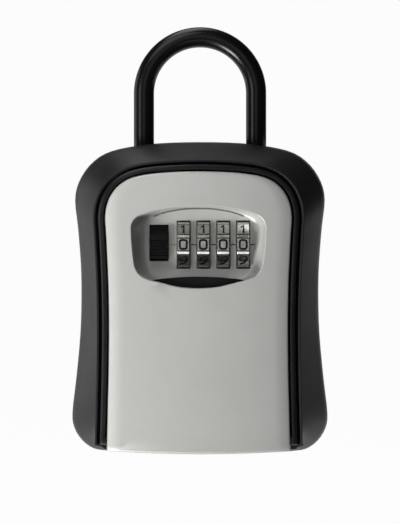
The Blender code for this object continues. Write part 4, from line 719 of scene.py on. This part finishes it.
# Each digit's strokes: whether one closes on itself, and its stations as shares of the digit's half size
DIGIT_STROKE_SHARES: dict[int, tuple[tuple[bool, tuple[Point, ...]], ...]] = {
    0: ((True, ((-1.0, 0.55), (-0.85, 0.87), (-0.45, 1.0), (0.45, 1.0), (0.85, 0.87), (1.0, 0.55),
                (1.0, -0.55), (0.85, -0.87), (0.45, -1.0), (-0.45, -1.0), (-0.85, -0.87), (-1.0, -0.55))),),
    1: ((False, ((-0.5, 0.55), (0.1, 1.0), (0.1, -1.0))),),
    2: ((False, ((-1.0, 0.6), (-0.8, 0.9), (-0.4, 1.0), (0.5, 1.0), (0.9, 0.85), (1.0, 0.5), (0.8, 0.2),
                 (-1.0, -0.85), (-1.0, -1.0), (1.0, -1.0))),),
    3: ((False, ((-1.0, 1.0), (1.0, 1.0), (0.0, 0.2), (0.6, 0.15), (1.0, -0.2), (1.0, -0.6), (0.7, -0.95),
                 (0.3, -1.0), (-0.6, -1.0), (-1.0, -0.75))),),
    4: ((False, ((0.5, -1.0), (0.5, 1.0), (-1.0, -0.35), (1.0, -0.35))),),
    5: ((False, ((0.95, 1.0), (-0.85, 1.0), (-0.95, 0.1), (-0.4, 0.25), (0.5, 0.22), (1.0, -0.1),
                 (1.0, -0.6), (0.6, -1.0), (-0.5, -1.0), (-1.0, -0.75))),),
    6: ((False, ((0.75, 1.0), (-0.1, 0.8), (-0.8, 0.2), (-1.0, -0.3), (-1.0, -0.6), (-0.6, -1.0),
                 (0.6, -1.0), (1.0, -0.65), (1.0, -0.25), (0.6, 0.1), (-0.5, 0.1), (-0.95, -0.2))),),
    7: ((False, ((-1.0, 1.0), (1.0, 1.0), (0.1, -0.2), (-0.2, -1.0))),),
    8: ((True, ((-0.9, 0.75), (-0.5, 1.0), (0.5, 1.0), (0.9, 0.75), (0.9, 0.3), (0.5, 0.08), (-0.5, 0.08),
                (-0.9, 0.3))),
        (True, ((-1.0, -0.2), (-0.5, 0.08), (0.5, 0.08), (1.0, -0.2), (1.0, -0.7), (0.5, -1.0),
                (-0.5, -1.0), (-1.0, -0.7)))),
    9: ((False, ((-0.75, -1.0), (0.1, -0.8), (0.8, -0.2), (1.0, 0.3), (1.0, 0.6), (0.6, 1.0), (-0.6, 1.0),
                 (-1.0, 0.65), (-1.0, 0.25), (-0.6, -0.1), (0.5, -0.1), (0.95, 0.2))),),
}


class DialSlot(IntEnum):
    """The material slots of a dial."""

    FIELD = 0
    # Grooves, their walls and the slopes to the corners, coloured as painted shade
    GROOVE_PAINTED_SHADE = 1
    # The flat at each corner, coloured as a painted highlight
    BAR_PAINTED_HIGHLIGHT = 2


@dataclass
class Dials:
    """The number dials: flat fields between grooves coloured dark as painted shade, corner bars coloured
    bright as a painted highlight, and digits.
    """

    count: int = DIAL_COUNT
    middle_x: float = 5.6 * MM
    pitch: float = 7.66 * MM
    width: float = 4.65 * MM
    axis_depth: float = 25.5 * MM
    axis_rise: float = 20.2 * MM
    apothem: float = 10.2 * MM
    field_half: float = 2.25 * MM
    groove_start: float = 2.33 * MM
    groove_end: float = 2.62 * MM
    groove_drop: float = 0.5 * MM
    bar_radius: float = 10.32 * MM
    bar_half: float = 0.5 * MM
    bore: float = 1.7 * MM
    end_bevel: float = 0.16 * MM
    sides: int = 10
    digit_half: Point = (1.34 * MM, 1.70 * MM)
    stroke_half: float = 0.45 * MM
    stroke_end_share: float = 0.6
    stroke_top_share: float = 0.9
    sharpest_join: float = 0.6
    digit_stand: float = 0.03 * MM
    digit_sink: float = 0.09 * MM
    face_slots: tuple[DialSlot, ...] = (
        DialSlot.GROOVE_PAINTED_SHADE, DialSlot.GROOVE_PAINTED_SHADE, DialSlot.FIELD, DialSlot.GROOVE_PAINTED_SHADE,
        DialSlot.GROOVE_PAINTED_SHADE, DialSlot.GROOVE_PAINTED_SHADE, DialSlot.BAR_PAINTED_HIGHLIGHT, DialSlot.GROOVE_PAINTED_SHADE)

    def middles(self) -> list[float]:
        """Return each dial's middle, from left to right."""
        return [self.middle_x + self.pitch * (i - (self.count - 1) / 2) for i in range(self.count)]

    def face_angle(self, face: int) -> float:
        """Return a face's angle from the front."""
        return 2 * math.pi * face / self.sides

    def at(self, angle: float, out: float, up: float, x: float) -> Vector:
        """Place a point on a dial.

        Args:
            angle: The angle of its face from the front.
            out: How far it lies from the axis, square to the face.
            up: How far it lies up along the face.
            x: Its place along the axis.

        Returns:
            The point.
        """
        face_out = Vector((0, -math.cos(angle), math.sin(angle)))
        face_up = Vector((0, math.sin(angle), math.cos(angle)))
        return Vector((x, -self.axis_depth, self.axis_rise)) + face_out * out + face_up * up

    def profile(self, x: float, inset: float) -> list[Vector]:
        """Draw a dial's outline.

        Args:
            x: Its place along the axis.
            inset: How far it is drawn in.

        Returns:
            Its points: for each side a field between two grooves, then the bar at the next corner.
        """
        out = self.apothem - inset
        deep = out - self.groove_drop
        bar = self.bar_radius - inset
        corner = math.pi / self.sides
        steps = ((deep, -self.groove_end), (deep, -self.groove_start), (out, -self.field_half),
                 (out, self.field_half), (deep, self.groove_start), (deep, self.groove_end))
        points = []
        for face in range(self.sides):
            angle = self.face_angle(face)
            points += [self.at(angle, reach, up, x) for reach, up in steps]
            points += [self.at(angle + corner, bar, up, x) for up in (-self.bar_half, self.bar_half)]
        return points

    def slot_of(self, place: int) -> int:
        """Return the material slot of the strip that starts at a point of the outline."""
        return self.face_slots[place % len(self.face_slots)]

    def bore_ring(self, x: float) -> list[Vector]:
        """Return the bore's edge at x, one point below each point of the outline."""
        centre = Vector((x, -self.axis_depth, self.axis_rise))
        return [centre + (point - centre).normalized() * self.bore for point in self.profile(x, 0.0)]

    def build_dial(self, number: int, x: float, wardrobe: Wardrobe) -> None:
        """Build one dial and its digits.

        Args:
            number: The dial's number, from the left.
            x: Its middle.
            wardrobe: The materials.
        """
        low = x - self.width / 2
        high = x + self.width / 2
        bevel = self.end_bevel
        outline = [self.profile(low, bevel), self.profile(low + bevel, 0.0),
                   self.profile(high - bevel, 0.0), self.profile(high, bevel)]
        rings = [self.bore_ring(low), *outline, self.bore_ring(high)]
        bm = bmesh.new()
        skin(bm, rings, closed=True, smooth=False, slot_of=self.slot_of)
        dial = new_piece(bm, f"dial_{number}_plated")
        # The plating, then the painted shade of the grooves and the painted highlight of the corner bars
        wardrobe.dress(dial, DIAL_PLATED, DIAL_GROOVE_PAINTED_SHADE, DIAL_BAR_PAINTED_HIGHLIGHT)
        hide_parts(f"dial_{number}")
        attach(dial, f"dial_body_{number}")
        digits = self.build_digits(number, x)
        wardrobe.dress(digits, DIGIT_BLACK)
        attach(digits, f"dial_body_{number}")
        LOG.info("dial %d built", number)

    def build_digits(self, number: int, x: float) -> bpy.types.Object:
        """Build the digits of one dial.

        Args:
            number: The dial's number, from the left.
            x: Its middle.

        Returns:
            The digits, as one piece.
        """
        half_width, half_height = self.digit_half
        bm = bmesh.new()
        for digit in range(self.sides):
            for closed, stations in DIGIT_STROKE_SHARES[digit]:
                line = [Vector((across * half_width, up * half_height)) for across, up in stations]
                self.lay_stroke(bm, line, closed, self.face_angle(digit), x)
        return new_piece(bm, f"dial_{number}_digits")

    def station(self, line: Sequence[Vector], i: int, closed: bool) -> tuple[Vector, Vector]:
        """Join the two stretches of a stroke that meet at a station.

        The join reaches out further the more the stroke turns, up to what sharpest_join allows.

        Args:
            line: The stroke's centre line.
            i: The station's number.
            closed: Whether the line closes on itself.

        Returns:
            The station's place, moved outwards at an open end, and the way from there to the stroke's side.
        """
        count = len(line)
        point = line[i]
        before = line[i - 1] if closed or i > 0 else point
        after = line[(i + 1) % count] if closed or i < count - 1 else point
        into = (point - before).normalized() if before != point else (after - point).normalized()
        onto = (after - point).normalized() if after != point else into
        first = Vector((-into.y, into.x))
        second = Vector((-onto.y, onto.x))
        side = (first + second) * (self.stroke_half / max(1 + first.dot(second), self.sharpest_join))
        if not closed and i in (0, count - 1):
            point = point + (into if i else -onto) * self.stroke_half * self.stroke_end_share
        return point, side

    def lay_stroke(self, bm: bmesh.types.BMesh, line: Sequence[Vector], closed: bool,
                   angle: float, x: float) -> None:
        """Lay one stroke of a digit on a face.

        Args:
            bm: The mesh that takes the stroke.
            line: The stroke's centre line, across and up the face.
            closed: Whether the line closes on itself.
            angle: The face's angle from the front.
            x: The dial's middle.
        """
        top = self.apothem + self.digit_stand
        deep = self.apothem - self.digit_sink
        narrow = self.stroke_top_share
        rings = []
        for i in range(len(line)):
            point, side = self.station(line, i, closed)
            rings.append([self.at(angle, out, point.y + side.y * share, x + point.x + side.x * share)
                          for out, share in ((deep, 1.0), (top, narrow), (top, -narrow), (deep, -1.0))])
        skin(bm, rings, closed=closed)

    def build(self, wardrobe: Wardrobe) -> None:
        """Build all dials, from left to right."""
        for i, x in enumerate(self.middles()):
            self.build_dial(i + 1, x, wardrobe)


@dataclass
class IndexGrooveShade:
    """Black strips in the index groove between the dials and right of the last one, painted shade that
    darkens the groove.
    """

    dials: Dials = field(default_factory=Dials)
    clearance: float = 0.5 * MM
    last_end: float = 21.5 * MM
    floor_depth: float = 31.1 * MM
    sink: float = 0.05 * MM
    thickness: float = 0.2 * MM
    half_height: float = 0.17 * MM

    def spans(self) -> list[Point]:
        """Lay out the painted-shade strips between the dials.

        Returns:
            The start and end of each strip along X.
        """
        half = self.dials.width / 2 + self.clearance
        middles = self.dials.middles()
        between = [(left + half, right - half) for left, right in zip(middles, middles[1:])]
        return between + [(middles[-1] + half, self.last_end)]

    def build(self, wardrobe: Wardrobe) -> None:
        """Build the painted-shade strips and let them ride with the door.

        Args:
            wardrobe: The materials.
        """
        front = self.sink - self.floor_depth
        back = front + self.thickness
        low = self.dials.axis_rise - self.half_height
        high = self.dials.axis_rise + self.half_height
        corners = ((front, low), (front, high), (back, high), (back, low))
        bm = bmesh.new()
        for span in self.spans():
            skin(bm, [[Vector((x, y, z)) for y, z in corners] for x in span])
        # Painted shade: black strips, in the digits' black, sunk into the index groove to darken it
        groove_shade = new_piece(bm, "index_groove_painted_shade")
        wardrobe.dress(groove_shade, DIGIT_BLACK)
        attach(groove_shade, "door")
        LOG.info("index marks built")


BRASS_NODES = ("shackle_latch", "slide_rivet", "reset_lever",
               *(f"code_cam_{i + 1}" for i in range(DIAL_COUNT)))


@dataclass
class SolidPieces:
    """The pieces whose solids show as they are, with their finishes."""

    finishes: dict[str, Finish] = field(default_factory=lambda: {
        "bumper": BUMPER_BLACK,
        "housing": CASE_BLACK,
        "door_cover": SATIN_SILVER,
        "shutter": SHUTTER_BLACK,
        "slider_button": BUTTON_BLACK,
        "shackle": SHACKLE_STEEL,
        **dict.fromkeys(BRASS_NODES, PLAIN_BRASS),
    })
    other_finish: Finish = ZINC_STEEL
    replaced: tuple[str, ...] = ("shackle_sleeve", *(f"dial_{i + 1}" for i in range(DIAL_COUNT)))

    def build(self, nodes: dict[str, bpy.types.Object], wardrobe: Wardrobe, shading: SoftShading) -> None:
        """Dress every node that isn't replaced.

        Args:
            nodes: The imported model's nodes by name.
            wardrobe: The materials.
            shading: The modifier that smooths facets.
        """
        for name, node in nodes.items():
            if name in self.replaced:
                continue
            wardrobe.dress(node, self.finishes.get(name, self.other_finish))
            shading.apply(node)
        LOG.info("%d solids dressed", len(nodes) - len(self.replaced))


@dataclass(frozen=True)
class Lamp:
    """One soft lamp: where it stands, how wide and high it is, in metres, and its power in watts."""

    name: str
    place: Triple
    size: Point
    power: float


LAMPS = (
    Lamp("key_light", place=(-1.18, -1.05, -1.22), size=(0.7, 0.7), power=50.0),
    Lamp("left_light", place=(-1.05, -1.05, 0.10), size=(0.5, 0.5), power=2.9),
    Lamp("side_light", place=(-0.80, 0.28, 0.05), size=(0.6, 0.8), power=1.9),
    Lamp("top_light", place=(-0.15, -0.30, 0.36), size=(0.25, 0.25), power=0.55),
    Lamp("high_light", place=(-0.10, 0.03, 0.55), size=(0.45, 0.25), power=1.2),
    Lamp("front_light", place=(0.0, -1.5, 0.24), size=(0.7, 0.9), power=1.3),
    Lamp("low_light", place=(-0.02, -0.62, -0.40), size=(0.5, 0.14), power=0.27),
)


@dataclass
class Studio:
    """The white surroundings, the soft lamps and the camera."""

    floor_rise: float = -94.0 * MM
    floor_front: float = -60.0 * MM
    backdrop_depth: float = 2.6
    spread: float = 1.5
    ambient: float = 0.015
    surround: float = 0.06
    shadow_share: float = 0.03
    target: Vector = field(default_factory=lambda: Vector((0.0, -15.0 * MM, 13.5 * MM)))
    camera_distance: float = 780.0 * MM
    camera_turn: float = math.radians(1.5)
    lens: float = 178.2
    sensor: float = 36.0
    nearest: float = 0.01
    farthest: float = 20.0

    def white(self) -> bpy.types.Material:
        """Make the surroundings' material: plain white where it is seen, with a faint shadow.

        Returns:
            The material.
        """
        graph = Graph(bpy.data.materials.new("studio_white"))
        matt = graph.make("ShaderNodeBsdfDiffuse", {}, {"Color": opaque(SOFT_WHITE)})
        glow = graph.make("ShaderNodeEmission", {}, {"Color": opaque(PLAIN_WHITE), "Strength": 1.0})
        share = graph.seen() * (1 - self.shadow_share)
        return graph.close(graph.make("ShaderNodeMixShader", {}, {0: share, 1: matt, 2: glow}))

    def plane(self, name: str, near: Point, far: Point, material: bpy.types.Material) -> None:
        """Add one flat piece of the surroundings, as wide as they spread.

        Args:
            name: Its name.
            near: The place of its near edge along Y and Z.
            far: The place of its far edge along Y and Z.
            material: Its material.
        """
        corners = [(-self.spread, *near), (self.spread, *near), (self.spread, *far), (-self.spread, *far)]
        bm = bmesh.new()
        bm.faces.new([bm.verts.new(corner) for corner in corners])
        piece = new_piece(bm, name)
        piece.data.materials.append(material)

    def planes(self) -> None:
        """Add the floor and the backdrop that stands on its far edge."""
        white = self.white()
        front = (self.floor_front, self.floor_rise)
        foot = (self.backdrop_depth, self.floor_rise)
        top = (self.backdrop_depth, self.floor_rise + self.spread)
        self.plane("floor", front, foot, white)
        self.plane("backdrop", foot, top, white)

    def world(self) -> None:
        """Surround the scene with an even grey, dim as a light and brighter where it is seen."""
        world = bpy.data.worlds.new("studio")
        graph = Graph(world)
        strength = graph.seen() * (self.surround - self.ambient) + self.ambient
        grey = graph.make("ShaderNodeBackground", {}, {"Color": opaque(PLAIN_WHITE), "Strength": strength})
        graph.close(grey)
        bpy.context.scene.world = world

    def stand(self, name: str, data: bpy.types.ID, place: Vector, facing: Vector) -> bpy.types.Object:
        """Stand a lamp or the camera in the scene.

        Args:
            name: Its name.
            data: Its lamp or camera data.
            place: Where it stands.
            facing: The way it faces.

        Returns:
            The object.
        """
        made = bpy.data.objects.new(name, data)
        made.location = place
        made.rotation_mode = "QUATERNION"
        made.rotation_quaternion = facing.to_track_quat("-Z", "Y")
        bpy.context.scene.collection.objects.link(made)
        return made

    def light(self, lamp: Lamp) -> None:
        """Add one lamp, turned to the object and out of the camera's sight.

        Args:
            lamp: The lamp.
        """
        data = bpy.data.lights.new(lamp.name, "AREA")
        data.shape = "RECTANGLE"
        data.size, data.size_y = lamp.size
        data.energy = lamp.power
        place = Vector(lamp.place)
        made = self.stand(lamp.name, data, place, self.target - place)
        made.visible_camera = False

    def camera(self) -> None:
        """Add the camera, turned a little from straight on."""
        data = bpy.data.cameras.new("camera")
        data.lens = self.lens
        data.sensor_width = self.sensor
        data.sensor_fit = "HORIZONTAL"
        data.clip_start = self.nearest
        data.clip_end = self.farthest
        back = Vector((math.sin(self.camera_turn), -math.cos(self.camera_turn), 0.0))
        place = self.target + back * self.camera_distance
        bpy.context.scene.camera = self.stand("camera", data, place, -back)

    def build(self) -> None:
        """Build the surroundings, the lamps and the camera."""
        bpy.context.scene.view_settings.view_transform = "Standard"
        self.planes()
        self.world()
        for lamp in LAMPS:
            self.light(lamp)
        self.camera()
        LOG.info("studio built")


def main() -> None:
    """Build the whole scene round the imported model."""
    logging.basicConfig(level=logging.INFO, format="%(message)s")
    clear_start_scene()
    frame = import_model()
    wardrobe = Wardrobe()
    Studio().build()
    SolidPieces().build(frame["nodes"], wardrobe, SoftShading())
    Shackle().build(wardrobe)
    Dials().build(wardrobe)
    IndexGrooveShade().build(wardrobe)


if __name__ == "__main__":
    main()
